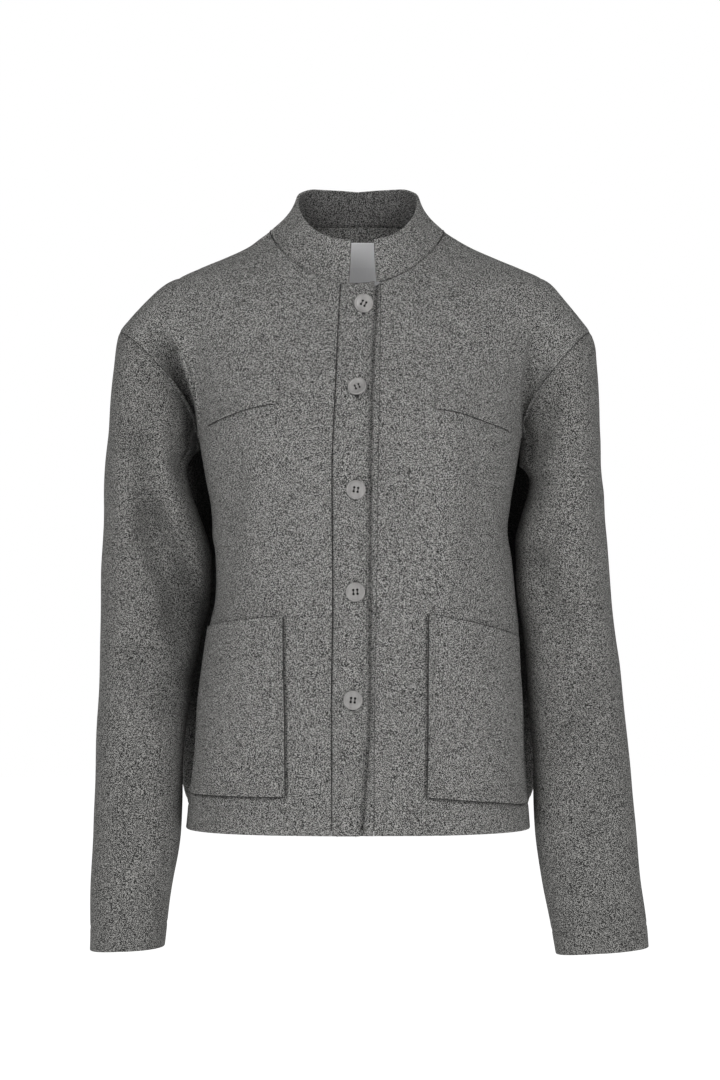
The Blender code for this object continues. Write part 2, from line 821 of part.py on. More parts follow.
def collar():
    """A low stand from the neck seam to its top edge, open at the front."""
    turns = collar_turns()
    seam = [neck_point(turn) for turn in turns]
    top_ends = []
    for side in (LEFT, RIGHT):
        reach = (COLLAR_END[side][1] - COLLAR_CENTRE) / COLLAR_HALF
        top_ends.append(math.asin(reach) + (0 if side == LEFT else 2 * math.pi))
    rows = [[] for _ in range(COLLAR_SPANS + 1)]
    for k in range(2 * len(turns) - 1):
        whole, part = divmod(k, 2)
        after = min(whole + 1, len(turns) - 1)
        base = seam[whole].lerp(seam[after], part / 2)
        turn = mix(turns[whole], turns[after], part / 2)
        share = (turn - turns[0]) / (turns[-1] - turns[0])
        top = collar_point(mix(*top_ends, share))
        inward = Vector((-base.x, -base.y, 0)).normalized()
        for i in range(COLLAR_SPANS + 1):
            up = i / COLLAR_SPANS
            hollow = inward * COLLAR_HOLLOW * math.sin(math.pi * up)
            rows[i].append(base.lerp(top, up) + hollow)
    normals = grid_normals(rows)
    for line, points in zip(normals, rows):
        for k, point in enumerate(points):
            if line[k].x * point.x + line[k].y * point.y < 0:
                line[k] = -line[k]
    normals[0] = [Vector((n.x, n.y, 0)).normalized() for n in normals[0]]
    for k, above in enumerate(rows[1]):
        rows[0][k] += (above - rows[0][k]).normalized() * SEAM_GAP
    return slab(rows, normals, -BAND_CLOTH, 0.0)


def neck_point(turn):
    """The neck seam all round; the turn starts at the middle of the front."""
    face = FRONT if math.cos(turn) > 0 else BACK
    return neckline(math.asin(math.sin(turn)), face)


def collar_point(turn):
    x = COLLAR_CENTRE + COLLAR_HALF * math.sin(turn)
    deep = COLLAR_FRONT if math.cos(turn) > 0 else COLLAR_BACK
    angle = math.degrees(turn)
    z = collar_top(min(angle, 360 - angle))
    return Vector((x, -deep * math.cos(turn), z))


def button(place):
    """A turned disc with a raised rim, resting on the upper band."""
    profile = [
        (0, 0),
        (BUTTON_RADIUS - BUTTON_FOOT, 0),
        (BUTTON_RADIUS, BUTTON_HEIGHT / 2),
        (BUTTON_RADIUS - BUTTON_CREST, BUTTON_HEIGHT),
        (BUTTON_RADIUS - BUTTON_RIM, BUTTON_HEIGHT),
        (BUTTON_RADIUS - 2 * BUTTON_RIM, BUTTON_HEIGHT - BUTTON_DISH),
        (0, BUTTON_HEIGHT - BUTTON_DISH),
    ]
    solid = bmesh.new()
    verts = [solid.verts.new((r * MM, 0, h * MM)) for r, h in profile]
    edges = [solid.edges.new(pair) for pair in zip(verts, verts[1:])]
    bmesh.ops.spin(
        solid, geom=verts + edges, axis=(0, 0, 1), cent=(0, 0, 0),
        steps=BUTTON_SIDES, angle=2 * math.pi, use_duplicate=False,
    )
    bmesh.ops.remove_doubles(solid, verts=solid.verts, dist=WELD * MM)
    bmesh.ops.recalc_face_normals(solid, faces=solid.faces)
    normal = surface_normal(place.x, place.z, FRONT)
    rest = on_surface(place.x, place.z, FRONT) + normal * (UPPER_BAND_FACE + SEAM_GAP)
    return solid, rest * MM, normal.to_track_quat("Z", "Y")


# Objects

def finish(name, look):
    colour, roughness, metallic = look
    material = bpy.data.materials.new(name)
    material.use_nodes = True
    shader = material.node_tree.nodes["Principled BSDF"]
    shader.inputs["Base Color"].default_value = (*colour, 1.0)
    shader.inputs["Roughness"].default_value = roughness
    shader.inputs["Metallic"].default_value = metallic
    material.diffuse_color = (*colour, 1.0)
    return material


def add_object(name, solid, look, holder):
    mesh = bpy.data.meshes.new(name)
    solid.to_mesh(mesh)
    solid.free()
    mesh.shade_smooth()
    mesh.set_sharp_from_angle(angle=math.radians(SHARP_ANGLE))
    mesh.materials.append(finish(name, look))
    piece = bpy.data.objects.new(name, mesh)
    piece.parent = holder
    bpy.context.scene.collection.objects.link(piece)
    return piece


def main():
    for old in list(bpy.data.objects):
        bpy.data.objects.remove(old, do_unlink=True)
    jacket = bpy.data.objects.new("jacket", None)
    bpy.context.scene.collection.objects.link(jacket)

    pieces = ["front_right", "front_left", "back", "sleeve_right", "sleeve_left"]
    surface = body_surface(pieces)
    surface.verts.index_update()
    for number, name in enumerate(pieces):
        look = WOOL_SLEEVE if name.startswith("sleeve") else WOOL
        add_object(name, cut_piece(surface, number), look, jacket)
    surface.free()

    add_object("collar", collar(), WOOL, jacket)
    add_object("band_upper", upper_band(), WOOL, jacket)
    add_object("band_lower", lower_band(), WOOL, jacket)
    for name, spec in POCKETS.items():
        add_object(name, pocket(spec), WOOL_POCKET, jacket)
    for name, spec in WELTS.items():
        add_object(name, welt(spec), WOOL_POCKET, jacket)
    add_object("neck_label", label(), SATIN, jacket)
    for count, place in enumerate(BUTTONS, start=1):
        solid, location, rotation = button(place)
        disc = add_object(f"button_{count}", solid, SHELL, jacket)
        disc.location = location
        disc.rotation_mode = "QUATERNION"
        disc.rotation_quaternion = rotation


main()
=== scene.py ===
import math

import bmesh
import bpy
import numpy as np
from mathutils import Matrix, Vector


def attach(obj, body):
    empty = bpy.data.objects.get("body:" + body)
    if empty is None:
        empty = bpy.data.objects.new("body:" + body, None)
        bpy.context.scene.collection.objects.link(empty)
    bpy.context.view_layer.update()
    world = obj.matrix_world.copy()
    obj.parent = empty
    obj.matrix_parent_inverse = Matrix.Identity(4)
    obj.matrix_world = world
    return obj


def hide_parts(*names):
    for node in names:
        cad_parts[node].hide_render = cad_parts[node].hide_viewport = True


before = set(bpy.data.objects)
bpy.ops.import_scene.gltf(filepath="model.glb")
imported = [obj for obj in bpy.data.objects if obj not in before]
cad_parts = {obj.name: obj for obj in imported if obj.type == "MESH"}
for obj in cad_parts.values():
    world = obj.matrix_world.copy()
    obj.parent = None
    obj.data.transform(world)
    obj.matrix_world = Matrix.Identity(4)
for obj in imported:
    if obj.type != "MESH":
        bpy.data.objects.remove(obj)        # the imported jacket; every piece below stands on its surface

# Sizes are millimetres and become metres as each mesh is made.
# The front faces -Y and the wearer's right is at -X.
metres = 0.001
wearerRight, wearerLeft = -1, 1
frontSide, backSide = -1, 1
bodyMiddle, pocketMiddle = -300, -450       # heights that a panel's outer side faces away from
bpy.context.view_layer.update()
print("jacket: frame loaded,", len(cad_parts), "nodes")

cloth = {
    "wall": 2.0,
    "bandWall": 3.0,
    "turnUp": 1.5,          # extra wall where the hem and cuffs are turned up
    "seamGap": 0.2,
    "edgeRound": 0.4,       # rounding of an edge, as a share of the wall
    "seamRound": 0.22,      # and of an edge that is mostly sewn to another
    "hem": -592.0,
    "hemTurn": 25.0,
    "cuffTurn": 23.0,
    "underarm": -207.0,
    "shoulderTip": -98.0,
    "neckDrop": 54.0,
    "neckRise": 12.0,
    "grooveDeep": 0.55,     # how far a row of topstitching pulls the cloth in
    "grooveWide": 1.7,
    "seamDeep": 0.7,        # how far a seam sinks
    "seamWide": 2.1,
}
mesh = {
    "neckColumns": 30,
    "shoulderColumns": 84,
    "upperRows": 66,
    "lowerRows": 88,
    "sleeveColumns": 66,    # across each half of a sleeve
    "sleeveRows": 150,
    "samples": 180,
}
columns = mesh["neckColumns"] + mesh["shoulderColumns"]


# Curves and tables

def through(keys, values):
    # a smooth curve through a table's column, with no overshoot
    order = np.argsort(keys)
    keys = np.array(keys, float)[order]
    values = np.array(values, float)[order]
    steps = np.diff(keys)
    rises = np.diff(values) / steps
    before, after = rises[:-1], rises[1:]
    sameWay = before * after > 0
    both = np.where(sameWay, before + after, 1.0)
    slopes = np.concatenate([rises[:1], np.where(sameWay, 2 * before * after / both, 0.0), rises[-1:]])

    def value(at):
        at = np.clip(np.asarray(at, float), keys[0], keys[-1])
        i = np.clip(np.searchsorted(keys, at, side="right") - 1, 0, len(steps) - 1)
        t = (at - keys[i]) / steps[i]
        start = values[i] * (1 + 2 * t) + slopes[i] * steps[i] * t
        end = values[i + 1] * (3 - 2 * t) - slopes[i + 1] * steps[i] * (1 - t)
        return start * (1 - t) ** 2 + end * t ** 2

    return value


def columnCurves(table, key="z"):
    return {name: through(table[key], table[name]) for name in table if name != key}


def mix(a, b, share):
    return a + (b - a) * share


def smooth(share):
    share = np.clip(share, 0.0, 1.0)
    return share * share * (3 - 2 * share)


def lengths(points):
    # distance run along each row of points
    steps = np.linalg.norm(np.diff(points, axis=-2), axis=-1)
    start = np.zeros(steps.shape[:-1] + (1,))
    return np.concatenate([start, np.cumsum(steps, axis=-1)], axis=-1)


def evenly(points, count, closer=1.35):
    # rows of points made into rows of steps that shorten towards their end
    flat = points.reshape(-1, points.shape[-2], 3)
    run = lengths(flat)
    made = np.empty((len(flat), count + 1, 3))
    for row, (line, far) in enumerate(zip(flat, run)):
        at = far[-1] * (1 - (1 - np.linspace(0, 1, count + 1)) ** closer)
        for axis in range(3):
            made[row, :, axis] = np.interp(at, far, line[:, axis])
    return made.reshape(points.shape[:-2] + (count + 1, 3))


def atDistances(line, distances):
    far = lengths(line)
    return np.stack([np.interp(distances, far, line[:, axis]) for axis in range(3)], axis=-1)


def unit(vectors):
    size = np.linalg.norm(vectors, axis=-1, keepdims=True)
    return vectors / np.maximum(size, 1e-9)


# The jacket's outer surface: sections of the body and the sleeves

bodyShape = {
    "z": [12, 3.5, -4, -12, -24, -34, -44, -54, -66, -90, -120, -150, -180, -207, -211, -218,
          -240, -270, -295, -325, -365, -390, -465, -540, -592],
    "half": [79, 87.5, 98, 110, 136, 160, 181, 190, 190, 184, 176, 169, 163, 160, 159.3, 158.1,
             154.5, 149, 146.5, 147.5, 150, 154, 161, 167, 172],
    "middle": [-3, -3, -2.5, -1, 0, 0, 0, 0, 0, 0, 0, 0, 0, 0, 0, 0, 0.6, 1, 0.5, 3.5, 5, 4, 1,
               -1, -2],
    "front": [4, 9, 20, 37.5, 48, 57, 64.5, 72, 80, 93, 107, 119, 127, 131, 132, 133, 133, 132,
              131, 130, 128.5, 127.5, 126, 127, 128],
    "back": [55, 59, 63, 67, 73.5, 79, 84, 88, 92.5, 101, 108, 112, 113, 112.5, 112.3, 112, 110,
             107, 104, 101, 100, 100.5, 106, 112, 114],
    "square": [2.0, 2.0, 2.0, 2.0, 2.0, 2.0, 2.05, 2.1, 2.15, 2.2, 2.25, 2.3, 2.3, 2.33, 2.34,
               2.35, 2.4, 2.4, 2.4, 2.4, 2.4, 2.4, 2.4, 2.4, 2.4],
    # how much more the back stands out behind the sleeves
    "flare": [0, 0, 0, 0, 0, 0, 0, 0, 0, 0, 0, 0, 0, 0, 30, 40, 41, 39, 35, 30, 28, 29, 33, 30, 8],
}
flareFit = {"start": 0.28, "full": 0.56, "end": 0.98, "lag": 200.0}
sleeveShape = {
    wearerRight: {
        "z": [-42, -50, -63, -85, -100, -135, -165, -190, -207, -213, -221, -233, -245, -258,
              -276, -300, -324, -365, -405, -465, -525, -592, -645, -720],
        "outer": [180, 195, 210, 230, 241, 246, 249, 250.4, 251.5, 252, 252.6, 253.3, 254, 254.8,
                  255.6, 256.7, 257.5, 259, 260, 261, 263.5, 265, 267.5, 269.5],
        "inner": [150, 146, 142, 141, 141, 143, 147, 153, 160, 159.4, 166.5, 171.5, 171, 168.5,
                  162, 153.5, 147.5, 147.5, 158, 170, 176, 178, 185.5, 197],
        "front": [0, 20, 31, 43, 48, 52, 54, 55, 56, 56, 57, 57, 57, 57, 57, 56, 54, 54, 57, 60,
                  60, 60, 59, 58],
        "back": [0, 20, 32, 45, 51, 56, 59, 60, 60, 60, 60, 59.7, 59.2, 58.5, 57.7, 56, 54, 50,
                 46, 41, 37, 34, 33, 34],
    },
    wearerLeft: {
        "z": [-42, -50, -63, -85, -100, -117, -165, -190, -207, -218, -230, -238, -246, -260,
              -285, -308, -345, -405, -465, -525, -592, -645, -720],
        "outer": [180, 191, 202, 220, 231, 236, 238, 239, 240, 240.3, 240.6, 241.3, 242.2, 244,
                  245, 246.8, 250, 256, 263, 269, 274.5, 280, 288.5],
        "inner": [150, 146, 142, 141, 141, 143, 147, 153, 160, 159, 158.5, 165, 168.5, 166.5,
                  160.5, 155.5, 155.5, 163, 168.5, 172, 174, 181, 196],
        "front": [0, 20, 31, 43, 48, 51, 55, 57, 57, 57, 58, 58, 58, 58, 58, 58, 58, 57, 55, 53,
                  51, 49, 47],
        "back": [0, 20, 32, 45, 51, 54, 60, 61, 61, 61, 61, 60.5, 60, 58, 57, 55, 52, 47, 42, 38,
                 35, 32, 31],
    },
}
cuffs = {
    "height": {wearerRight: -711.0, wearerLeft: -714.0},
    "tilt": {wearerRight: -2.0, wearerLeft: 3.5},
    "ease": 80.0,           # the sleeve takes up the armhole's shape over this
    "armholeLean": 1.3,
    "square": 2.4,          # of a sleeve's section
}
neck = {"half": 87.5, "centre": -3.0, "curve": 1.5, "sideHeight": 3.5}
overlap = {"lift": 1.7, "reach": 75.0}
# the front falls back beside the chest, from under the shoulder to the underarm
valleys = {
    wearerRight: {
        "z": [-95, -108, -121, -143, -157, -178, -195, -207],
        "edge": [192, 186, 179, 170.5, 166.5, 161.5, 160, 160.3],
        "deep": [0, 0.14, 0.32, 0.54, 0.66, 0.76, 0.8, 0.78],
        "wide": [26, 25, 23, 20, 17, 12, 9, 8],
    },
    wearerLeft: {
        "z": [-88, -105, -125, -145, -175, -190, -200, -207],
        "edge": [166, 165, 163, 161, 158.5, 158.5, 159.5, 160.3],
        "deep": [0, 0.06, 0.14, 0.25, 0.38, 0.46, 0.5, 0.5],
        "wide": [26, 26, 25, 23, 17, 13, 10, 8],
    },
}
valleyDrop = 3.6            # the chest's edge falls away over this

body = columnCurves(bodyShape)
arm = {side: columnCurves(table) for side, table in sleeveShape.items()}
valley = {side: columnCurves(table) for side, table in valleys.items()}
faceName = {frontSide: "front", backSide: "back"}


def bySide(x, name, z):
    return np.where(x > 0, arm[wearerLeft][name](z), arm[wearerRight][name](z))


def depthAt(x, z, face):
    # how far the surface stands from the shoulder plane
    reach = np.abs(x - body["middle"](z)) / body["half"](z)
    exponent = body["square"](z)
    trunk = body[faceName[face]](z) * np.clip(1 - reach ** exponent, 0, 1) ** (1 / exponent)
    outer, inner = bySide(x, "outer", z), bySide(x, "inner", z)
    across = (2 * np.abs(x) - outer - inner) / (outer - inner)
    full = np.clip(1 - np.abs(across) ** cuffs["square"], 0, 1) ** (1 / cuffs["square"])
    sleeve = bySide(x, faceName[face], z) * full
    depth = (trunk ** 6 + sleeve ** 6) ** (1 / 6)
    return depth * (1 - valleyAt(x, z)) if face == frontSide else depth


def valleyAt(x, z):
    total = 0.0
    for side in (wearerRight, wearerLeft):
        away = side * x - valley[side]["edge"](z)
        beyond = np.maximum(away - valleyDrop, 0) / valley[side]["wide"](z)
        total = total + valley[side]["deep"](z) * smooth(away / valleyDrop) * np.exp(-beyond * beyond)
    return total


def onSurface(x, z, face):
    x, z = np.broadcast_arrays(np.asarray(x, float), np.asarray(z, float))
    return np.stack([x, face * depthAt(x, z, face), z], axis=-1)


def surfaceNormal(x, z, face, step=0.5):
    x, z = np.broadcast_arrays(np.asarray(x, float), np.asarray(z, float))
    across = onSurface(x + step, z, face) - onSurface(x - step, z, face)
    up = onSurface(x, z + step, face) - onSurface(x, z - step, face)
    return unit(np.cross(across, up)) * -face


def sectionLine(side, face, startX, z):
    # the body's section from startX round to the side seam, for each height
    z = np.asarray(z, float)[..., None]
    startX = np.asarray(startX, float)[..., None]
    wide, centre, exponent = body["half"](z), body["middle"](z), body["square"](z)
    share = (startX - centre) * side / wide
    start = np.arcsin(np.sign(share) * np.abs(share) ** (exponent / 2))
    turn = mix(start, math.pi / 2, np.linspace(0, 1, mesh["samples"] + 1))
    across = np.sin(turn)
    x = centre + side * wide * np.sign(across) * np.abs(across) ** (2 / exponent)
    share = np.clip(np.cos(turn), 0, 1) ** (2 / exponent)
    if face == backSide:
        x = x + side * backFlare(share, z)
    y = face * body[faceName[face]](z) * share
    y[..., -1] = 0.0
    return np.stack([x, y, np.broadcast_to(z, x.shape)], axis=-1)


def backFlare(share, z):
    rising = smooth((share - flareFit["start"]) / (flareFit["full"] - flareFit["start"]))
    fading = smooth((flareFit["end"] - share) / (flareFit["end"] - flareFit["full"]))
    lag = flareFit["lag"] * np.maximum(share - flareFit["full"], 0.0)
    return body["flare"](z + lag) * rising * fading


def neckline(angle, face):
    x = neck["centre"] + neck["half"] * np.sin(angle)
    height = -cloth["neckDrop"] if face == frontSide else cloth["neckRise"]
    z = mix(neck["sideHeight"], height, np.clip(np.cos(angle), 0, 1) ** neck["curve"])
    return onSurface(x, z, face)


def neckAngle(x):
    return np.arcsin((x - neck["centre"]) / neck["half"])


def neckDip(x):
    return mix(neck["sideHeight"], -cloth["neckDrop"], np.cos(neckAngle(x)) ** neck["curve"])


def shoulderLine(side):
    z = np.linspace(neck["sideHeight"], cloth["shoulderTip"], 90 + 1)
    sleeveReach = np.where(z < -44, arm[side]["outer"](z), 0.0)
    reach = np.maximum(side * body["middle"](z) + body["half"](z), sleeveReach)
    return np.stack([side * reach, np.zeros_like(z), z], axis=-1)


def armholeHeight(angle):
    leaned = math.pi * (angle / math.pi) ** cuffs["armholeLean"]
    return mix(cloth["shoulderTip"], cloth["underarm"], (1 - np.cos(leaned)) / 2)


def armholeX(side, angle, z):
    outer, inner = arm[side]["outer"](z), arm[side]["inner"](z)
    return side * ((outer + inner) / 2 + (outer - inner) / 2 * np.cos(angle))


def sleeveX(side, angle, z):
    outer, inner = arm[side]["outer"](z), arm[side]["inner"](z)
    across = np.sign(np.cos(angle)) * np.abs(np.cos(angle)) ** (2 / cuffs["square"])
    return side * ((outer + inner) / 2 + (outer - inner) / 2 * across)


def sleeveY(side, angle, face, z):
    ahead, behind = arm[side]["front"](z), arm[side]["back"](z)
    out = np.clip(np.sin(angle), 0, 1) ** (2 / cuffs["square"])
    return (behind - ahead) / 2 + face * (behind + ahead) / 2 * out


def armhole(side, angle, face):
    z = armholeHeight(angle)
    return onSurface(armholeX(side, angle, z), z, face)


def overlapShift(x):
    # one front sinks and the other rises towards the middle
    return np.sign(x) * overlap["lift"] * smooth(1 - np.abs(x) / overlap["reach"])


# Folds: troughs pressed in along a line; a negative depth is a ridge.
# Each is x1, z1, x2, z2, half width, depth.
folds = {
    "bodyFront": [
        (-198, -100, -184, -140, 13, 3),
        (190, -112, 176, -150, 14, 3),
        (-148, -205, -150, -300, 9, -2.2),
        (-118, -232, -126, -300, 11, 1.5),
        (-100, -222, -108, -330, 13, -1.5),
        (88, -170, 92, -380, 17, -2.6),
        (118, -210, 112, -350, 19, 2.2),
        (128, -150, 120, -186, 11, 1.6),
        (60, -110, 74, -160, 22, 1.3),
        (-60, -300, -48, -352, 16, 1.1),
        (44, -330, 58, -372, 18, 1.2),
        (-40, -560, -62, -600, 20, 1.4),
        (58, -556, 40, -600, 20, 1.2),
        (-150, -572, -160, -600, 14, 1.6),
    ],
    "bodyBack": [
        (-192, -110, -176, -160, 14, 6),
        (188, -110, 174, -160, 14, 6),
        (-95, -300, -40, -345, 22, 5),
        (92, -310, 45, -360, 22, 5),
        (-128, -215, -104, -300, 16, 2.6),
        (131, -228, 108, -318, 15, 2.4),
        (-30, -70, 34, -78, 15, 1.6),
        (-80, -395, -58, -560, 24, 2.2),
        (70, -420, 84, -590, 22, 2.0),
        (8, -380, -4, -520, 26, -2.0),
        (-140, -420, -132, -520, 18, 1.6),
    ],
    "sleeveFront": [
        (-225, -196, -208, -280, 16, 8),
        (-206, -290, -172, -378, 20, 17),
        (-190, -385, -172, -440, 18, 6),
        (-222, -420, -190, -470, 18, 6),
        (176, -325, 200, -380, 14, 7),
        (190, -176, 172, -225, 11, 6),
        (232, -450, 205, -500, 17, 5),
        (-198, -200, -182, -285, 9, -2.6),
        (-178, -250, -160, -345, 10, -3.4),
        (-232, -190, -238, -330, 18, -2.0),
        (-212, -140, -206, -205, 14, 2.4),
        (-214, -520, -236, -600, 20, 2.2),
        (196, -150, 180, -176, 9, 2.6),
        (200, -196, 178, -262, 13, 3.0),
        (222, -150, 226, -300, 18, -1.8),
        (190, -292, 174, -318, 10, 2.2),
        (214, -396, 196, -420, 14, 2.0),
        (246, -520, 228, -600, 19, 2.0),
        (240, -640, 258, -690, 16, 1.4),
    ],
    "sleeveBack": [
        (-225, -335, -180, -380, 15, 8),
        (-230, -400, -190, -385, 14, 6),
        (222, -340, 182, -385, 15, 8),
        (235, -410, 200, -400, 14, 6),
        (-222, -200, -184, -238, 14, 3.4),
        (218, -196, 182, -232, 14, 3.2),
        (-240, -455, -204, -440, 13, 3.0),
        (244, -470, 206, -452, 13, 3.0),
        (-206, -300, -200, -332, 10, -2.0),
        (-240, -560, -218, -640, 18, 1.8),
        (250, -560, 232, -650, 18, 1.8),
    ],
}
# slow waves that keep a panel from looking ironed: length, direction, height, start
waves = [(172, 0.35, 0.55, 0.4), (121, 1.9, 0.4, 2.1), (77, 1.1, 0.26, 4.0), (49, 2.6, 0.15, 1.2)]


def foldDepth(x, z, name):
    total = np.zeros_like(x)
    for x1, z1, x2, z2, width, deep in folds[name]:
        runX, runZ = x2 - x1, z2 - z1
        share = np.clip(((x - x1) * runX + (z - z1) * runZ) / (runX ** 2 + runZ ** 2), 0, 1)
        away = np.hypot(x - x1 - share * runX, z - z1 - share * runZ) / width
        total += deep * np.exp(-away * away)
    return total


def waveHeight(x, z):
    total = np.zeros_like(x)
    for long, direction, high, start in waves:
        along = x * math.cos(direction) + z * math.sin(direction)
        total += high * np.sin(2 * math.pi * along / long + start)
    return total


def groove(distance):
    return cloth["grooveDeep"] * np.exp(-(distance / cloth["grooveWide"]) ** 2)


def seamSink(distance):
    return cloth["seamDeep"] * np.exp(-(distance / cloth["seamWide"]) ** 2)


# Grids and shells

def gridNormals(points, closed=False):
    if closed:
        across = np.roll(points, -1, axis=1) - np.roll(points, 1, axis=1)
    else:
        across = np.gradient(points, axis=1)
    up = np.gradient(points, axis=0)
    return unit(np.cross(across, up))


def facingOut(points, normals, centre):
    # turns normals that look towards the centre
    inward = np.mean(np.sum(normals * (points - centre), axis=-1)) < 0
    return -normals if inward else normals


def outwardNormals(points, middle=bodyMiddle):
    return facingOut(points, gridNormals(points), (0, 0, middle))


def addMesh(name, verts, faces, uvs=None):
    data = bpy.data.meshes.new(name)
    data.from_pydata([tuple(v) for v in (np.asarray(verts) * metres).tolist()], [], faces)
    if uvs is not None:
        layer = data.uv_layers.new(name="clothMap")
        corner = np.empty(len(data.loops), dtype=np.int32)
        data.loops.foreach_get("vertex_index", corner)
        layer.data.foreach_set("uv", (np.asarray(uvs)[corner] * metres).astype(np.float32).ravel())
    data.validate()
    data.shade_smooth()
    piece = bpy.data.objects.new(name, data)
    bpy.context.scene.collection.objects.link(piece)
    return piece


def clothShell(name, points, normals, wall, closed=False, share=None):
    # a closed sheet of cloth with rounded edges, from a grid of outer points
    rows, width = points.shape[:2]
    wall = np.broadcast_to(np.asarray(wall, float), (rows, width))
    share = cloth["edgeRound"] if share is None else share
    outer = points.copy()
    inner = points - normals * wall[..., None]
    across = np.zeros_like(points)
    across[0] += unit(points[0] - points[1])
    across[-1] += unit(points[-1] - points[-2])
    if not closed:
        across[:, 0] += unit(points[:, 0] - points[:, 1])
        across[:, -1] += unit(points[:, -1] - points[:, -2])
    across -= normals * np.sum(across * normals, axis=-1, keepdims=True)
    radius = (wall * share)[..., None]
    pull = unit(across) * radius
    outer -= pull
    inner -= pull
    verts = np.concatenate([outer.reshape(-1, 3), inner.reshape(-1, 3)])
    index = np.arange(rows * width).reshape(rows, width)
    nextColumn = np.roll(index, -1, axis=1) if closed else index[:, 1:]
    here = index if closed else index[:, :-1]
    quads = np.stack([here[:-1], nextColumn[:-1], nextColumn[1:], here[1:]], axis=-1).reshape(-1, 4)
    across0 = points[0, 1] - points[0, 0]
    up0 = points[1, 0] - points[0, 0]
    if np.dot(np.cross(across0, up0), normals[0, 0]) < 0:
        quads = quads[:, ::-1]
    faces = np.concatenate([quads, quads[:, ::-1] + rows * width]).tolist()
    if closed:
        rims = [index[0].tolist(), index[-1].tolist()]
    else:
        rims = [index[0, :-1].tolist() + index[:-1, -1].tolist()
                + index[-1, :0:-1].tolist() + index[:0:-1, 0].tolist()]
    flatPoints, flatNormals = points.reshape(-1, 3), normals.reshape(-1, 3)
    flatPull, flatWall = pull.reshape(-1, 3), wall.reshape(-1)
    extra = []
    count = len(verts)
    corner = math.sqrt(0.5)
    for rim in rims:
        p, n, t = flatPoints[rim], flatNormals[rim], flatPull[rim]
        w = flatWall[rim][:, None]
        r = w * share
        loops = [
            p - n * r * (1 - corner) - t * (1 - corner),
            p - n * r,
            p - n * (w - r),
            p - n * (w - r * (1 - corner)) - t * (1 - corner),
        ]
        chain = [np.array(rim)]
        for loop in loops:
            chain.append(np.arange(count, count + len(rim)))
            extra.append(loop)
            count += len(rim)
        chain.append(np.array(rim) + rows * width)
        for a, b in zip(chain, chain[1:]):
            strip = np.stack([a, np.roll(a, -1), np.roll(b, -1), b], axis=-1)
            faces += strip.tolist()
    verts = np.concatenate([verts] + extra)
    run = lengths(points)
    run = run - run[:, :1]
    height = points[..., 2]
    flatUv = np.stack([run, height], axis=-1).reshape(-1, 2)
    rimUv = [flatUv[rim] for rim in rims for _ in range(4)]
    uvs = np.concatenate([flatUv, flatUv] + rimUv)
    piece = addMesh(name, verts, faces, uvs)
    work = bmesh.new()
    work.from_mesh(piece.data)
    bmesh.ops.recalc_face_normals(work, faces=work.faces)
    work.to_mesh(piece.data)
    work.free()
    piece.data.shade_smooth()
    return piece


# Shader groups: marled wool, and the cloudy shell of the buttons

def newGroup(name, inputs, outputs):
    tree = bpy.data.node_groups.new(name, "ShaderNodeTree")
    for label, kind, value in inputs:
        socket = tree.interface.new_socket(name=label, in_out="INPUT", socket_type=kind)
        socket.default_value = value
    for label, kind in outputs:
        tree.interface.new_socket(name=label, in_out="OUTPUT", socket_type=kind)
    return tree, tree.nodes.new("NodeGroupInput"), tree.nodes.new("NodeGroupOutput")


def addNode(tree, kind, **settings):
    node = tree.nodes.new(kind)
    for name, value in settings.items():
        setattr(node, name, value)
    return node


def setInputs(node, values):
    for name, value in values.items():
        node.inputs[name].default_value = value


def addBump(tree, shader, height, distance, strength=1.0):
    bump = addNode(tree, "ShaderNodeBump")
    setInputs(bump, {"Strength": strength, "Distance": distance})
    tree.links.new(height, bump.inputs["Height"])
    tree.links.new(bump.outputs[0], shader.inputs["Normal"])


def objectPlace(tree):
    return addNode(tree, "ShaderNodeTexCoord").outputs["Object"]


def addMath(tree, operation, a, b=None, c=None):
    node = addNode(tree, "ShaderNodeMath", operation=operation)
    for socket, value in zip(node.inputs, (a, b, c)):
        if isinstance(value, bpy.types.NodeSocket):
            tree.links.new(value, socket)
        elif value is not None:
            socket.default_value = value
    return node.outputs[0]


def addNoise(tree, vector, scale, detail, roughness):
    node = addNode(tree, "ShaderNodeTexNoise", noise_dimensions="3D")
    tree.links.new(vector, node.inputs["Vector"])
    if isinstance(scale, bpy.types.NodeSocket):
        tree.links.new(scale, node.inputs["Scale"])
    else:
        node.inputs["Scale"].default_value = scale
    setInputs(node, {"Detail": detail, "Roughness": roughness})
    return node.outputs["Fac"]


def addColourMix(tree, share, a, b, blend="MIX"):
    node = addNode(tree, "ShaderNodeMix", data_type="RGBA", blend_type=blend)
    for socket, value in ((node.inputs[0], share), (node.inputs[6], a), (node.inputs[7], b)):
        if isinstance(value, bpy.types.NodeSocket):
            tree.links.new(value, socket)
        elif isinstance(value, tuple):
            socket.default_value = (*value, 1.0)
        else:
            socket.default_value = value
    return node.outputs[2]


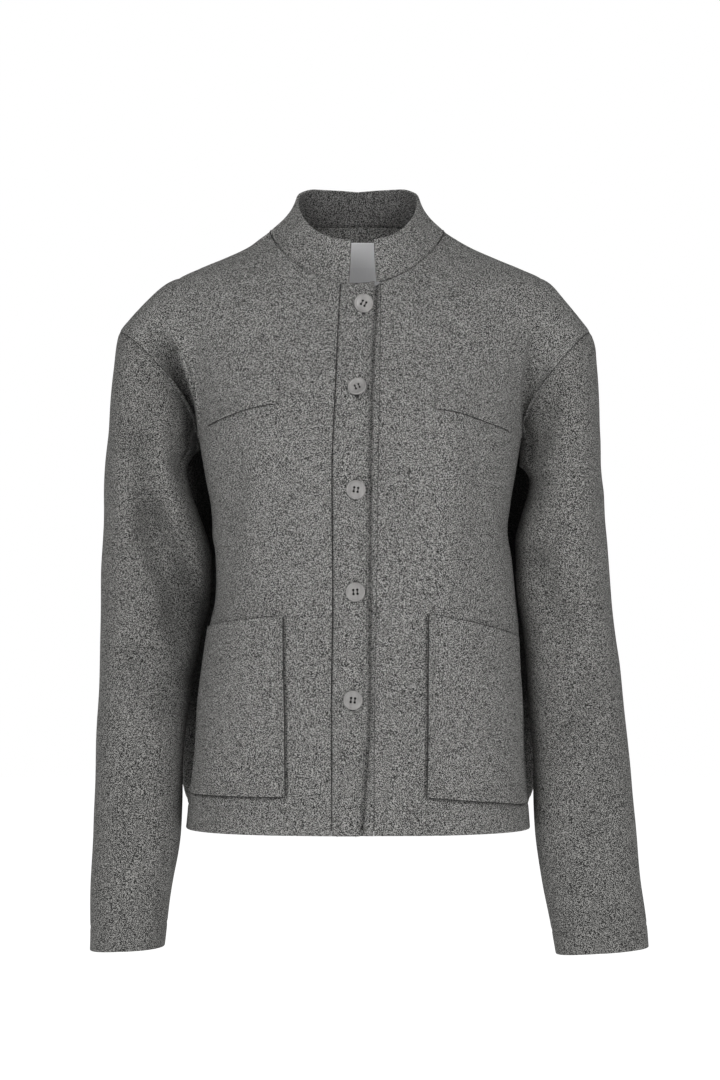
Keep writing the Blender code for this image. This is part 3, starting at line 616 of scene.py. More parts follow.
def marledWool():
    # flecked yarns in a small twill: colour and height
    tree, given, made = newGroup(
        "marledWool",
        [("Dark", "NodeSocketColor", (0.05, 0.05, 0.05, 1)),
         ("Middle", "NodeSocketColor", (0.15, 0.15, 0.15, 1)),
         ("Light", "NodeSocketColor", (0.4, 0.4, 0.4, 1)),
         ("Fleck Scale", "NodeSocketFloat", 640.0),
         ("Twill Pitch", "NodeSocketFloat", 0.0021),
         ("Twill Strength", "NodeSocketFloat", 0.35)],
        [("Color", "NodeSocketColor"), ("Height", "NodeSocketFloat")],
    )
    link = tree.links.new
    place = objectPlace(tree)
    flat = addNode(tree, "ShaderNodeUVMap", uv_map="clothMap").outputs["UV"]
    yarn = addNode(tree, "ShaderNodeMapping")
    yarn.inputs["Scale"].default_value = (1.0, 1.0, 1.35)
    link(place, yarn.inputs["Vector"])
    place = yarn.outputs[0]
    fleck = addNoise(tree, place, given.outputs["Fleck Scale"], 0.6, 0.5)
    fine = addNoise(tree, place, addMath(tree, "MULTIPLY", given.outputs["Fleck Scale"], 1.6), 0.0, 0.5)
    cloud = addNoise(tree, place, 38.0, 3.0, 0.55)
    axes = addNode(tree, "ShaderNodeSeparateXYZ")
    link(flat, axes.inputs[0])
    warped = addMath(tree, "MULTIPLY_ADD", fleck, 0.0022, axes.outputs["X"])
    diagonal = addMath(tree, "ADD", warped, addMath(tree, "MULTIPLY", axes.outputs["Y"], 0.8))
    turns = addMath(tree, "DIVIDE", diagonal, given.outputs["Twill Pitch"])
    twill = addMath(tree, "SINE", addMath(tree, "MULTIPLY", turns, 2 * math.pi))
    twill = addMath(tree, "MULTIPLY", twill, given.outputs["Twill Strength"])
    # light and dark yarns
    tone = addMath(tree, "MULTIPLY_ADD", addMath(tree, "SUBTRACT", fleck, 0.5), 11.0, 0.5)
    tone = addMath(tree, "MULTIPLY_ADD", addMath(tree, "SUBTRACT", fine, 0.5), 6.0, tone)
    tone = addMath(tree, "MULTIPLY_ADD", twill, 0.32, tone)
    tone = addMath(tree, "MULTIPLY_ADD", addMath(tree, "SUBTRACT", cloud, 0.5), 0.35, tone)
    low = addNode(tree, "ShaderNodeMapRange", clamp=True)
    high = addNode(tree, "ShaderNodeMapRange", clamp=True)
    for node, start, end in ((low, -0.35, 0.5), (high, 0.5, 1.45)):
        link(tone, node.inputs["Value"])
        setInputs(node, {"From Min": start, "From Max": end})
    colour = addColourMix(tree, low.outputs[0], given.outputs["Dark"], given.outputs["Middle"])
    colour = addColourMix(tree, high.outputs[0], colour, given.outputs["Light"])
    link(colour, made.inputs["Color"])
    height = addMath(tree, "MULTIPLY", fleck, 0.7)
    height = addMath(tree, "ADD", addMath(tree, "MULTIPLY", fine, 0.6), height)
    height = addMath(tree, "MULTIPLY_ADD", twill, 0.25, height)
    link(height, made.inputs["Height"])
    return tree


woolGroup = marledWool()


def newMaterial(name):
    material = bpy.data.materials.new(name)
    material.use_nodes = True
    tree = material.node_tree
    return material, tree, tree.nodes["Principled BSDF"]


def woolMaterial(name, settings):
    material, tree, shader = newMaterial(name)
    wool = addNode(tree, "ShaderNodeGroup", node_tree=woolGroup)
    setInputs(wool, {label: (*settings[label], 1.0) for label in ("Dark", "Middle", "Light")})
    for label in ("Fleck Scale", "Twill Pitch", "Twill Strength"):
        setInputs(wool, {label: settings[label]})
    # painted shade: the mesh's own attribute darkens the colour of cloth that lies in a hollow, towards
    # near black
    hollow = addNode(tree, "ShaderNodeAttribute", attribute_name="hollow").outputs["Fac"]
    colour = addColourMix(tree, hollow, wool.outputs["Color"], (0.008, 0.008, 0.008))
    tree.links.new(colour, shader.inputs["Base Color"])
    addBump(tree, shader, wool.outputs["Height"], settings["bumpDistance"], settings["bump"])
    setInputs(shader, {
        "Roughness": 0.94, "Specular IOR Level": 0.2, "Sheen Weight": settings["sheen"],
        "Sheen Roughness": 0.55, "Sheen Tint": (0.9, 0.9, 0.88, 1.0),
    })
    return material


woolLook = {
    "Dark": (0.022, 0.022, 0.021),
    "Middle": (0.112, 0.113, 0.110),
    "Light": (0.47, 0.465, 0.45),
    "Fleck Scale": 980.0,
    "Twill Pitch": 0.0022,
    "Twill Strength": 0.8,
    "bump": 0.55,
    "bumpDistance": 0.0006,
    "sheen": 0.06,
}
# a darker copy of the wool for the sleeves: painted shade
sleeveShadeLook = dict(woolLook, Middle=(0.086, 0.086, 0.084), Light=(0.41, 0.405, 0.39))
# a slightly lighter copy of the wool for the pockets: painted light
pocketLitLook = dict(woolLook, Middle=(0.116, 0.116, 0.113))
# a darker copy of the wool for the collar's inner side: painted shade
insideShadeLook = dict(woolLook, Middle=(0.062, 0.062, 0.061), Light=(0.27, 0.265, 0.26))
woolBody = woolMaterial("woolBody", woolLook)
woolSleeveShaded = woolMaterial("woolSleeveShaded", sleeveShadeLook)
woolPocketLit = woolMaterial("woolPocketLit", pocketLitLook)
woolInsideShaded = woolMaterial("woolInsideShaded", insideShadeLook)

threadLook = {"colour": (0.115, 0.115, 0.112), "dark": (0.012, 0.011, 0.011), "twist": 2600.0}


def threadMaterial(name, colour):
    material, tree, shader = newMaterial(name)
    place = objectPlace(tree)
    twist = addNoise(tree, place, threadLook["twist"], 2.0, 0.6)
    dark, light = (tuple(share * c for c in colour) for share in (0.55, 1.6))
    tree.links.new(addColourMix(tree, twist, dark, light), shader.inputs["Base Color"])
    addBump(tree, shader, twist, 0.0001)
    setInputs(shader, {"Roughness": 0.6})
    return material


seamThread = threadMaterial("seamThread", threadLook["colour"])
darkThreadAndShade = threadMaterial("darkThreadAndShade", threadLook["dark"])

madePieces = {}

# Painted shade: how far the wool's colour is darkened in the hollow beside the chest, on the sleeve's
# inner side, in its troughs and on the back panel between sleeve and body
paintedShade = {
    "chest": 0.95,
    "below": 34.0,          # the chest's hollow runs out this far under the underarm
    "trough": 0.03,         # for each millimetre of a fold's depth, up to the next one
    "troughDeep": 9.0,
    "behind": 0.86,         # the back panel where it shows between sleeve and body
    wearerRight: {
        "z": [-140, -190, -215, -250, -300, -365, -430, -500, -592],
        "amount": [0, 0.2, 0.42, 0.46, 0.46, 0.5, 0.32, 0.16, 0.12],
        "reach": [0.3, 0.3, 0.3, 0.3, 0.4, 0.62, 0.5, 0.4, 0.4],
    },
    wearerLeft: {
        "z": [-140, -190, -215, -250, -300, -365, -430, -500, -592],
        "amount": [0, 0.12, 0.26, 0.24, 0.2, 0.2, 0.14, 0.1, 0.1],
        "reach": [0.3, 0.3, 0.3, 0.3, 0.35, 0.35, 0.35, 0.35, 0.35],
    },
}


def paintHollowShade(piece, side, isSleeve):
    # paints shade into the cloth's colour: the mesh's hollow attribute darkens the wool where shade falls
    data = piece.data
    places = np.empty(len(data.vertices) * 3)
    data.vertices.foreach_get("co", places)
    x, y, z = (places.reshape(-1, 3) / metres).T
    dark = paintedShade["chest"] * valleyAt(x, z) * smooth((z - cloth["underarm"]) / paintedShade["below"] + 1)
    if isSleeve:
        curves = columnCurves(paintedShade[side])
        outer, inner = arm[side]["outer"](z), arm[side]["inner"](z)
        across = (np.abs(x) - inner) / (outer - inner)
        dark += curves["amount"](z) * (1 - smooth(across / curves["reach"](z)))
        dark += paintedShade["trough"] * np.clip(foldDepth(x, z, "sleeveFront"), 0, paintedShade["troughDeep"])
    dark *= smooth((14 - y) / 20)
    if side == 0:
        dark = paintedShade["behind"] * smooth((64 - y) / 18) * smooth((cloth["underarm"] + 6 - z) / 10)
        dark *= 1 - smooth((-440 - z) / 110)
    layer = data.attributes.new("hollow", "FLOAT", "POINT")
    layer.data.foreach_set("value", np.clip(dark, 0, 0.93).astype(np.float32))


def finishPiece(piece, material, slot, *nodes):
    piece.data.materials.clear()
    piece.data.materials.append(material)
    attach(piece, "root")
    if nodes:
        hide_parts(*nodes)
    madePieces[piece.name] = piece
    return piece


def declareCloth(points):
    # measures the longest way up the cloth, and keeps nothing
    tall = lengths(points.swapaxes(0, 1))[:, -1].max() * metres


panels = {}


def makeCloth(name, points, normals, wall, material, node,
              slot="wool", closed=False, share=None):
    panels[name] = points
    piece = finishPiece(clothShell(name, points, normals, wall, closed, share), material, slot, node)
    flat = np.concatenate([points, points[:, :1]], axis=1) if closed else points
    declareCloth(flat)
    return piece


# Front and back panels

bands = {
    "z": [-54, -100, -150, -245, -365, -455, -592],
    "seam": [-19.5, -22, -24, -27.5, -26.8, -28, -28],
    "edge": [14.5, 12.3, 9.8, 7.8, 7.6, 7.3, 0],
    "underSeam": [20.5, 20, 19.3, 17.5, 16, 14.3, 13.5],
}
band = columnCurves(bands)


def hemHeights():
    stitch = cloth["hem"] + cloth["hemTurn"]
    turned = np.linspace(cloth["hem"], stitch - 4, 9)[:-1]
    sewn = np.linspace(stitch - 4, stitch + 4, 9)
    rest = np.linspace(stitch + 4, cloth["underarm"] - 24, mesh["lowerRows"] + 1)[1:]
    close = np.linspace(cloth["underarm"] - 24, cloth["underarm"], 17)[1:]
    return np.concatenate([turned, sewn, rest, close])


def upperPanel(side, face, edgeX):
    low = evenly(sectionLine(side, face, edgeX(cloth["underarm"]), cloth["underarm"]), columns)
    first = neckAngle(edgeX(-cloth["neckDrop"]))
    turns = mix(first, side * math.pi / 2, np.arange(mesh["neckColumns"]) / mesh["neckColumns"])
    high = np.concatenate([neckline(turns, face), evenly(shoulderLine(side), mesh["shoulderColumns"])])
    step = np.arange(1, mesh["upperRows"]) / mesh["upperRows"]
    share = np.sin(math.pi / 2 * step)[:, None, None]
    plain = mix(low[None], high[None], share)
    shift = armhole(side, math.pi * (1 - step), face) - plain[:, -1]
    u = (np.arange(columns + 1) / columns)[None, :]
    points = plain + shift[:, None] * u[..., None] ** 3
    edgeShift = edgeX(points[..., 2]) - plain[:, :1, 0]
    x = points[..., 0] + edgeShift * (1 - u) ** 3
    rows = onSurface(x, points[..., 2], face)
    return np.concatenate([rows, high[None]])


def halfPanel(side, face, edgeX):
    z = hemHeights()
    low = evenly(sectionLine(side, face, edgeX(z), z), columns)
    return np.concatenate([low, upperPanel(side, face, edgeX)])


def centreBack(z):
    return np.zeros_like(np.asarray(z, float))


def fromEdge(points, edge):
    # distance of each point from the row or column at one edge
    if edge in ("first column", "last column"):
        run = lengths(points)
        return run if edge == "first column" else run[:, -1:] - run
    run = lengths(points.swapaxes(0, 1)).swapaxes(0, 1)
    return run if edge == "first row" else run[-1:] - run


def shapePanel(points, face):
    # folds, waves, the hem's stitched groove and the seams' slight sink
    normals = outwardNormals(points)
    x, z = points[..., 0], points[..., 2]
    seamFar = fromEdge(points, "last column")
    neckFar = fromEdge(points, "last row")
    calm = smooth(seamFar / 16) * smooth(neckFar / 14)
    name = "bodyFront" if face == frontSide else "bodyBack"
    press = foldDepth(x, z, name) * calm
    press -= waveHeight(x, z) * calm
    press += groove(z - cloth["hem"] - cloth["hemTurn"])
    press += seamSink(seamFar) + 0.45 * seamSink(neckFar)
    points = points - normals * press[..., None]
    if face == frontSide:
        points -= normals * (0.6 * seamSink(fromEdge(points, "first column")))[..., None]
        points[..., 1] += overlapShift(x)
    return points


# where each edge of a grid is, and the row or column beside it
gridEdges = {
    "first column": (np.s_[:, 0], np.s_[:, 1]), "last column": (np.s_[:, -1], np.s_[:, -2]),
    "first row": (np.s_[0], np.s_[1]), "last row": (np.s_[-1], np.s_[-2]),
}


def gapped(points, edges):
    # pulls the named edges in by half the seam gap
    points = points.copy()
    for name in edges:
        edge, beside = gridEdges[name]
        points[edge] -= unit(points[edge] - points[beside]) * (cloth["seamGap"] / 2)
    return points


def panelWall(points):
    edge = cloth["hem"] + cloth["hemTurn"]
    return cloth["wall"] + cloth["turnUp"] * smooth((edge + 1 - points[..., 2]) / 2)


sewnEdges = ("first column", "last column", "last row")
for side, edgeX, name, node, sleeve in (
    (wearerRight, band["seam"], "frontRight", "front_right", "sleeveRight"),
    (wearerLeft, band["underSeam"], "frontLeft", "front_left", "sleeveLeft"),
):
    points = gapped(shapePanel(halfPanel(side, frontSide, edgeX), frontSide), sewnEdges)
    piece = makeCloth(name, points, outwardNormals(points), panelWall(points), woolBody, node,
                      share=cloth["seamRound"])
    paintHollowShade(piece, side, False)

right, left = (shapePanel(halfPanel(side, backSide, centreBack), backSide)
               for side in (wearerRight, wearerLeft))
points = gapped(np.concatenate([right[:, ::-1], left[:, 1:]], axis=1), sewnEdges)
backPiece = makeCloth("backPanel", points, outwardNormals(points), panelWall(points), woolBody, "back",
                      share=cloth["seamRound"])
paintHollowShade(backPiece, 0, False)
print("jacket: fronts and back made")


# Sleeves

def sleeveGrid(side):
    count = mesh["sleeveColumns"]
    angles = np.concatenate([math.pi * (1 - np.arange(count + 1) / count),
                             math.pi * np.arange(1, count) / count])
    faces = np.concatenate([np.full(count + 1, frontSide), np.full(count - 1, backSide)])
    start = np.where((faces == frontSide)[:, None], armhole(side, angles, frontSide),
                     armhole(side, angles, backSide))
    cuff = cuffs["height"][side] + cuffs["tilt"][side] * np.cos(angles)
    turn = cuff + cloth["cuffTurn"]
    down = (np.arange(mesh["sleeveRows"] + 1)[:, None] / mesh["sleeveRows"]) ** 1.35
    z = mix(start[None, :, 2], turn + 4, down)
    sewn = turn + np.linspace(4, -4, 9)[1:, None]
    last = mix(turn - 4, cuff, np.linspace(0, 1, 9)[1:, None])
    z = np.concatenate([z, sewn, last])
    fade = np.clip((start[None, :, 2] - z) / cuffs["ease"], 0, 1)
    held = (1 - fade) ** 2 * (1 + 2 * fade)
    shift = start[:, 1] - sleeveY(side, angles, faces, start[:, 2])
    y = sleeveY(side, angles, faces, z) + shift * held
    drift = start[:, 0] - sleeveX(side, angles, start[:, 2])
    points = np.stack([sleeveX(side, angles, z) + drift * held, y, z], axis=-1)
    return points, turn


def shapeSleeve(points, turn, side):
    z = points[..., 2]
    centre = np.stack([side * (arm[side]["outer"](z) + arm[side]["inner"](z)) / 2,
                       np.zeros_like(z), z], axis=-1)
    normals = facingOut(points, gridNormals(points, True), centre)
    calm = smooth(fromEdge(points, "first row") / 18)
    ahead = smooth(0.5 - normals[..., 1] * 2.2)
    press = foldDepth(points[..., 0], z, "sleeveFront") * ahead
    press += foldDepth(points[..., 0], z, "sleeveBack") * (1 - ahead)
    press -= waveHeight(points[..., 0] + points[..., 1], z)
    press *= calm
    press += groove(z - turn)
    press += seamSink(fromEdge(points, "first row"))
    return points - normals * press[..., None], centre


for side, name, node, front in (
    (wearerRight, "sleeveRight", "sleeve_right", "frontRight"),
    (wearerLeft, "sleeveLeft", "sleeve_left", "frontLeft"),
):
    points, turn = sleeveGrid(side)
    points, centre = shapeSleeve(points, turn, side)
    points = gapped(points, ("first row",))
    normals = facingOut(points, gridNormals(points, True), centre)
    wall = cloth["wall"] + cloth["turnUp"] * smooth((turn + 1 - points[..., 2]) / 2)
    piece = makeCloth(name, points, normals, wall, woolSleeveShaded, node,
                      slot="wool_sleeve", closed=True, share=cloth["seamRound"])
    paintHollowShade(piece, side, True)
print("jacket: sleeves made")


# Button bands: the upper one stands on the lower one

bandStyle = {
    "upperFace": 2.7,       # outer face at the free edge, from the body's surface
    "seamFace": 0.4,        # and at the seam
    "seamSink": 1.2,
    "lowerFace": -1.4,
    "lowerStart": 5.0,
    "stitchIn": 6.5,        # topstitching from the seam
    "edgeStitch": 4.0,      # and from the free edge
    "columns": 30,
    "gap": 0.15,
    "gully": 3.4,           # the lower band falls away beside the upper one's edge
    "gullyWide": 3.4,
    "seamWide": 1.8,
    "riseWide": 9.0,        # the upper band reaches its full height over this
    "wave": 0.35,
}


def bandGrid(startX, endX, rise, stitches):
    z = hemHeights()
    step = np.arange(1, mesh["upperRows"] + 1) / mesh["upperRows"]
    share = np.concatenate([np.zeros(len(z)), np.sin(math.pi / 2 * step)])
    height = np.concatenate([z, mix(cloth["underarm"], -cloth["neckDrop"], share[len(z):])])
    u = np.linspace(0, 1, bandStyle["columns"] + 1)[None, :]
    start, end = startX(height)[:, None], endX(height)[:, None]
    x = mix(start, end, u)
    z = height[:, None] + share[:, None] * (neckDip(x) + cloth["neckDrop"])
    points = onSurface(x, z, frontSide)
    normals = surfaceNormal(x, z, frontSide)
    lift = rise(x, start, end, band["edge"](height)[:, None])
    for far in stitches:
        line = far if far > 0 else (end - start) + far
        lift = lift - groove(x - start - line) * smooth((z - cloth["hem"]) / 3)
    lift = lift - groove(z - cloth["hem"] - cloth["hemTurn"])
    lift = lift + bandStyle["wave"] * waveHeight(x, z)
    return points + normals * lift[..., None], normals


def upperRise(x, start, end, edge):
    seam = bandStyle["seamSink"] * np.exp(-((x - start) / bandStyle["seamWide"]) ** 2)
    share = smooth((x - start) / bandStyle["riseWide"])
    return mix(bandStyle["seamFace"], bandStyle["upperFace"], share) - seam


def lowerRise(x, start, end, edge):
    beside = np.exp(-((x - edge - 1.0) / bandStyle["gullyWide"]) ** 2)
    return bandStyle["lowerFace"] - bandStyle["gully"] * beside + 0.3 * smooth((x - end + 3) / 3)


points, normals = bandGrid(lambda z: band["seam"](z) + bandStyle["gap"], band["edge"], upperRise,
                           (bandStyle["stitchIn"], -bandStyle["edgeStitch"]))
fromSeam = (points[..., 0] - points[:, :1, 0]) / bandStyle["riseWide"]
wall = mix(cloth["wall"], cloth["bandWall"], smooth(fromSeam))
makeCloth("bandUpper", points, normals, wall, woolBody, "band_upper")

points, normals = bandGrid(lambda z: band["seam"](z) + bandStyle["lowerStart"],
                           lambda z: band["underSeam"](z) - bandStyle["gap"], lowerRise, ())
makeCloth("bandLower", points, normals, cloth["wall"], woolBody, "band_lower")
print("jacket: button bands made")


# Standing collar

collarStyle = {
    "half": 61.6, "centre": -2.2, "front": 62.0, "back": 50.0, "hollow": 4.6,
    "rightEnd": (-10.8, -8.6), "leftEnd": (16.6, 14.1),     # x at the seam and at the top
    "around": 220, "up": 22,
    "angle": [0, 26, 46, 56, 75, 90, 110, 135, 160, 180],
    "top": [-11, -6, 3, 10, 24, 36, 44, 48.6, 48.2, 47],
}
collarTop = through(collarStyle["angle"], collarStyle["top"])


def neckPoint(turn):
    angle = np.arcsin(np.sin(turn))
    ahead = np.cos(turn) > 0
    return np.where(ahead[:, None], neckline(angle, frontSide), neckline(angle, backSide))


def collarPoint(turn):
    x = collarStyle["centre"] + collarStyle["half"] * np.sin(turn)
    deep = np.where(np.cos(turn) > 0, collarStyle["front"], collarStyle["back"])
    angle = np.degrees(turn)
    z = collarTop(np.minimum(angle, 360 - angle))
    return np.stack([x, -deep * np.cos(turn), z], axis=-1)


def collarGrid():
    first = neckAngle(collarStyle["leftEnd"][0])
    last = 2 * math.pi + neckAngle(collarStyle["rightEnd"][0])
    share = np.linspace(0, 1, collarStyle["around"] + 1)
    base = neckPoint(mix(first, last, share))
    start, end = (math.asin((collarStyle[key][1] - collarStyle["centre"]) / collarStyle["half"])
                  for key in ("leftEnd", "rightEnd"))
    top = collarPoint(mix(start, 2 * math.pi + end, share))
    flat = base * (1, 1, 0)
    inward = -unit(flat)
    up = np.linspace(0, 1, collarStyle["up"] + 1)[:, None, None]
    beside = np.abs(flat[..., :1]) / np.linalg.norm(flat, axis=-1, keepdims=True)
    hollow = collarStyle["hollow"] * mix(0.3, 1.0, beside) * np.sin(math.pi * up)
    points = mix(base, top, up) + inward * hollow
    points[0] += unit(points[1] - points[0]) * cloth["seamGap"]
    normals = outwardNormals(points, 0)
    firm = (np.linspace(0, 1, collarStyle["up"] + 1)[:, None, None] * 6).clip(0, 1)
    level = unit(normals * (1, 1, 0))
    normals = unit(mix(level, normals, firm))
    tall = lengths(points.swapaxes(0, 1)).swapaxes(0, 1)
    sink = 0.45 * seamSink(tall)
    wave = 0.5 * waveHeight(points[..., 0] * 1.4 + points[..., 1], points[..., 2] * 1.6)
    wave *= smooth(tall / 12)
    return points - normals * (sink - wave)[..., None], normals


points, normals = collarGrid()
collar = makeCloth("standCollar", points, normals, cloth["bandWall"], woolBody, "collar")
# the inner side gets a darker copy of the wool, painted shade inside the collar
collar.data.materials.append(woolInsideShaded)
outerFaces = (points.shape[0] - 1) * (points.shape[1] - 1)
for polygon in collar.data.polygons[outerFaces:2 * outerFaces]:
    polygon.material_index = 1
print("jacket: collar made")


# Patch pockets and breast welts

pocketStyle = {
    "width": 130.0, "corner": 3.0, "gap": 0.55, "stand": 1.4, "columns": 84, "rows": 106,
    "stitch": 7.5,          # topstitching from the sewn edges
    "innerLift": 1.9,       # the inner and lower edges stand off the front a little
    "Right": (wearerRight, -73.8, -71.8, -378, -392, -554.5, -556),
    "Left": (wearerLeft, 66, 64.5, -376, -402, -555, -567),
}


def pocketGrid(spec):
    side, topX, bottomX, topIn, topOut, lowIn, lowOut = spec
    out = np.linspace(0, 1, pocketStyle["columns"] + 1)
    points = np.empty((pocketStyle["rows"] + 1, pocketStyle["columns"] + 1, 3))
    for row, up in enumerate(np.linspace(0, 1, pocketStyle["rows"] + 1)):
        low = mix(lowIn, lowOut, out) + pocketStyle["corner"] * np.clip(out * 6 - 5, 0, 1) ** 2
        z = mix(low, mix(topIn, topOut, out), up)
        lines = sectionLine(side, frontSide, np.full_like(z, mix(bottomX, topX, up)), z)
        for column, line in enumerate(lines):
            points[row, column] = atDistances(line, [pocketStyle["width"] * out[column]])[0]
    return points


def shapePocket(points):
    base = points.copy()
    x, z = base[..., 0], base[..., 2]
    normals = outwardNormals(base, pocketMiddle)
    press = foldDepth(x, z, "bodyFront") - waveHeight(x, z)
    base[..., 1] += overlapShift(x)
    inFar = lengths(base)
    outFar = inFar[:, -1:] - inFar
    lowFar = fromEdge(base, "first row")
    topFar = fromEdge(base, "last row")
    across = np.sin(math.pi * inFar / inFar[:, -1:])
    tall = np.sin(math.pi * np.clip(0.1 + 0.8 * lowFar / lowFar[-1:], 0, 1))
    rise = pocketStyle["gap"] + cloth["wall"] + pocketStyle["stand"] * across * tall
    rise += pocketStyle["innerLift"] * np.exp(-(np.minimum(inFar, lowFar) / 5) ** 2)
    rise += 0.8 * np.exp(-(topFar / 12) ** 2) * across
    rise -= groove(inFar - pocketStyle["stitch"]) * smooth(topFar / 3)
    rise -= groove(outFar - pocketStyle["stitch"]) * smooth(topFar / 3)
    rise -= groove(lowFar - pocketStyle["stitch"]) * smooth(inFar / pocketStyle["stitch"])
    return base + normals * (rise - press)[..., None], normals


for key in ("Right", "Left"):
    points, normals = shapePocket(pocketGrid(pocketStyle[key]))
    makeCloth("pocket" + key, points, normals, cloth["wall"], woolPocketLit, "pocket_" + key.lower())

weltStyle = {
    "columns": 60, "rows": 22, "wall": 1.2, "height": 22.0, "gap": 0.55,
    "Right": (wearerRight, 77, 150, -173, 20, 1.7),
    "Left": (wearerLeft, 72, 148, -178, 21, 1.5),
}


def weltGrid(spec):
    side, inner, outer, low, drop, bend = spec
    out = np.linspace(0, 1, weltStyle["columns"] + 1)[None, :]
    up = np.linspace(0, 1, weltStyle["rows"] + 1)[:, None]
    x = side * mix(inner, outer, out) + 0 * up
    z = low - drop * out ** bend + weltStyle["height"] * up
    base = onSurface(x, z, frontSide)
    normals = surfaceNormal(x, z, frontSide)
    press = foldDepth(x, z, "bodyFront") - waveHeight(x, z)
    base[..., 1] += overlapShift(x)
    rise = mix(2.1, 0.35, smooth(up * 1.3)) - 0.25 * np.exp(-((1 - out) * 9) ** 2)
    rise = rise - 0.5 * np.exp(-(out * 22) ** 2)
    return base + normals * (rise - press)[..., None], normals


for key in ("Right", "Left"):
    points, normals = weltGrid(weltStyle[key])
    makeCloth("welt" + key, points, normals, weltStyle["wall"], woolBody, "welt_" + key.lower())
print("jacket: pockets and welts made")


# Neck label, left blank

labelStyle = {
    "width": 62.0, "top": -2.0, "height": 48.0, "gap": 1.2, "wall": 0.8, "fold": 0.46,
    "columns": 24, "rows": 28,
    # the lower colour is painted a little darker, as shade below the fold; glow is painted light: the
    # satin glows though it is no lamp
    "upper": (0.88, 0.88, 0.89), "lower": (0.84, 0.84, 0.85), "glow": 0.18,
}
u = np.linspace(-0.5, 0.5, labelStyle["columns"] + 1)[None, :]
v = np.linspace(0, 1, labelStyle["rows"] + 1)[:, None]
x = labelStyle["width"] * u + 0 * v
z = labelStyle["top"] - labelStyle["height"] * (1 - v) + 0 * u
outward = surfaceNormal(x, z, backSide)
inside = cloth["wall"] + labelStyle["gap"] + 0.5 + 2.4 * np.exp(-((v - labelStyle["fold"]) * 4) ** 2)
points = onSurface(x, z, backSide) - outward * inside[..., None]


def satinMaterial():
    material, tree, shader = newMaterial("labelSatin")
    place = objectPlace(tree)
    axes = addNode(tree, "ShaderNodeSeparateXYZ")
    tree.links.new(place, axes.inputs[0])
    foldZ = (labelStyle["top"] - labelStyle["height"] * (1 - labelStyle["fold"])) * metres
    below = addMath(tree, "SUBTRACT", foldZ, axes.outputs["Z"])
    share = addMath(tree, "MULTIPLY_ADD", below, 700.0, 0.5)
    share = addMath(tree, "MINIMUM", addMath(tree, "MAXIMUM", share, 0.0), 1.0)
    # painted shade: below the fold the colour turns to the darker lower one
    colour = addColourMix(tree, share, labelStyle["upper"], labelStyle["lower"])
    threads = addNoise(tree, place, 2400.0, 1.0, 0.5)
    colour = addColourMix(tree, addMath(tree, "MULTIPLY", threads, 0.2), colour, (0.6, 0.6, 0.61))
    tree.links.new(colour, shader.inputs["Base Color"])
    # painted light: the label glows in its own colour
    tree.links.new(colour, shader.inputs["Emission Color"])
    addBump(tree, shader, threads, 0.0001)
    setInputs(shader, {"Emission Strength": labelStyle["glow"], "Metallic": 0.1, "Roughness": 0.5,
                       "Sheen Weight": 0.3})
    return material


makeCloth("neckLabel", points, -outward, labelStyle["wall"], satinMaterial(), "neck_label",
          slot="label_satin")
print("jacket: neck label made")


# Buttons: turned grey shell with four holes

buttonStyle = {
    "radius": 9.5, "height": 3.2, "rim": 1.5, "dish": 1.1, "sides": 64, "shank": 4.2,
    "hole": 1.2, "holeSpread": 1.95, "stand": 3.3, "gap": 0.36, "shankDeep": 0.9, "strand": 0.17,
    "sharp": 50,            # degrees; the rim's edges stay crisp
    "places": [(3.4, -75.5), (-2.4, -158), (-3.9, -256), (-4.4, -355), (-6.8, -460)],
    "turn": [-28, 20, -9, 4, -6],               # degrees
    "lean": [(20, 6), (-13, -12), (4, 0), (0, 0), (0, 0)],     # degrees up and to the side
    "colour": (0.5, 0.488, 0.475), "cloud": (0.17, 0.166, 0.162),
}


def shellMaterial():
    material, tree, shader = newMaterial("buttonShell")
    place = objectPlace(tree)
    mapping = addNode(tree, "ShaderNodeMapping")
    mapping.inputs["Scale"].default_value = (1.0, 1.0, 0.35)
    tree.links.new(place, mapping.inputs["Vector"])
    cloud = addNoise(tree, mapping.outputs[0], 160.0, 3.0, 0.6)
    grain = addNoise(tree, place, 1400.0, 2.0, 0.6)
    colour = addColourMix(tree, cloud, buttonStyle["cloud"], buttonStyle["colour"])
    tree.links.new(colour, shader.inputs["Base Color"])
    rough = addMath(tree, "MULTIPLY_ADD", grain, 0.18, 0.26)
    tree.links.new(rough, shader.inputs["Roughness"])
    addBump(tree, shader, grain, 0.0002, 0.15)
    setInputs(shader, {"Coat Weight": 0.25, "Coat Roughness": 0.18})
    return material


buttonShell = shellMaterial()


def latheProfile(profile, sides):
    # a closed turned form; the first and last points lie on the axis
    verts = [(0, 0, profile[0][1])]
    faces = []
    rings = profile[1:-1]
    for radius, height in rings:
        for k in range(sides):
            turn = 2 * math.pi * k / sides
            verts.append((radius * math.cos(turn), radius * math.sin(turn), height))
    verts.append((0, 0, profile[-1][1]))
    last = len(verts) - 1
    for k in range(sides):
        m = (k + 1) % sides
        faces.append((0, 1 + m, 1 + k))
        for ring in range(len(rings) - 1):
            a, b = 1 + ring * sides, 1 + (ring + 1) * sides
            faces.append((a + k, a + m, b + m, b + k))
        top = 1 + (len(rings) - 1) * sides
        faces.append((top + k, top + m, last))
    return np.array(verts, float), faces


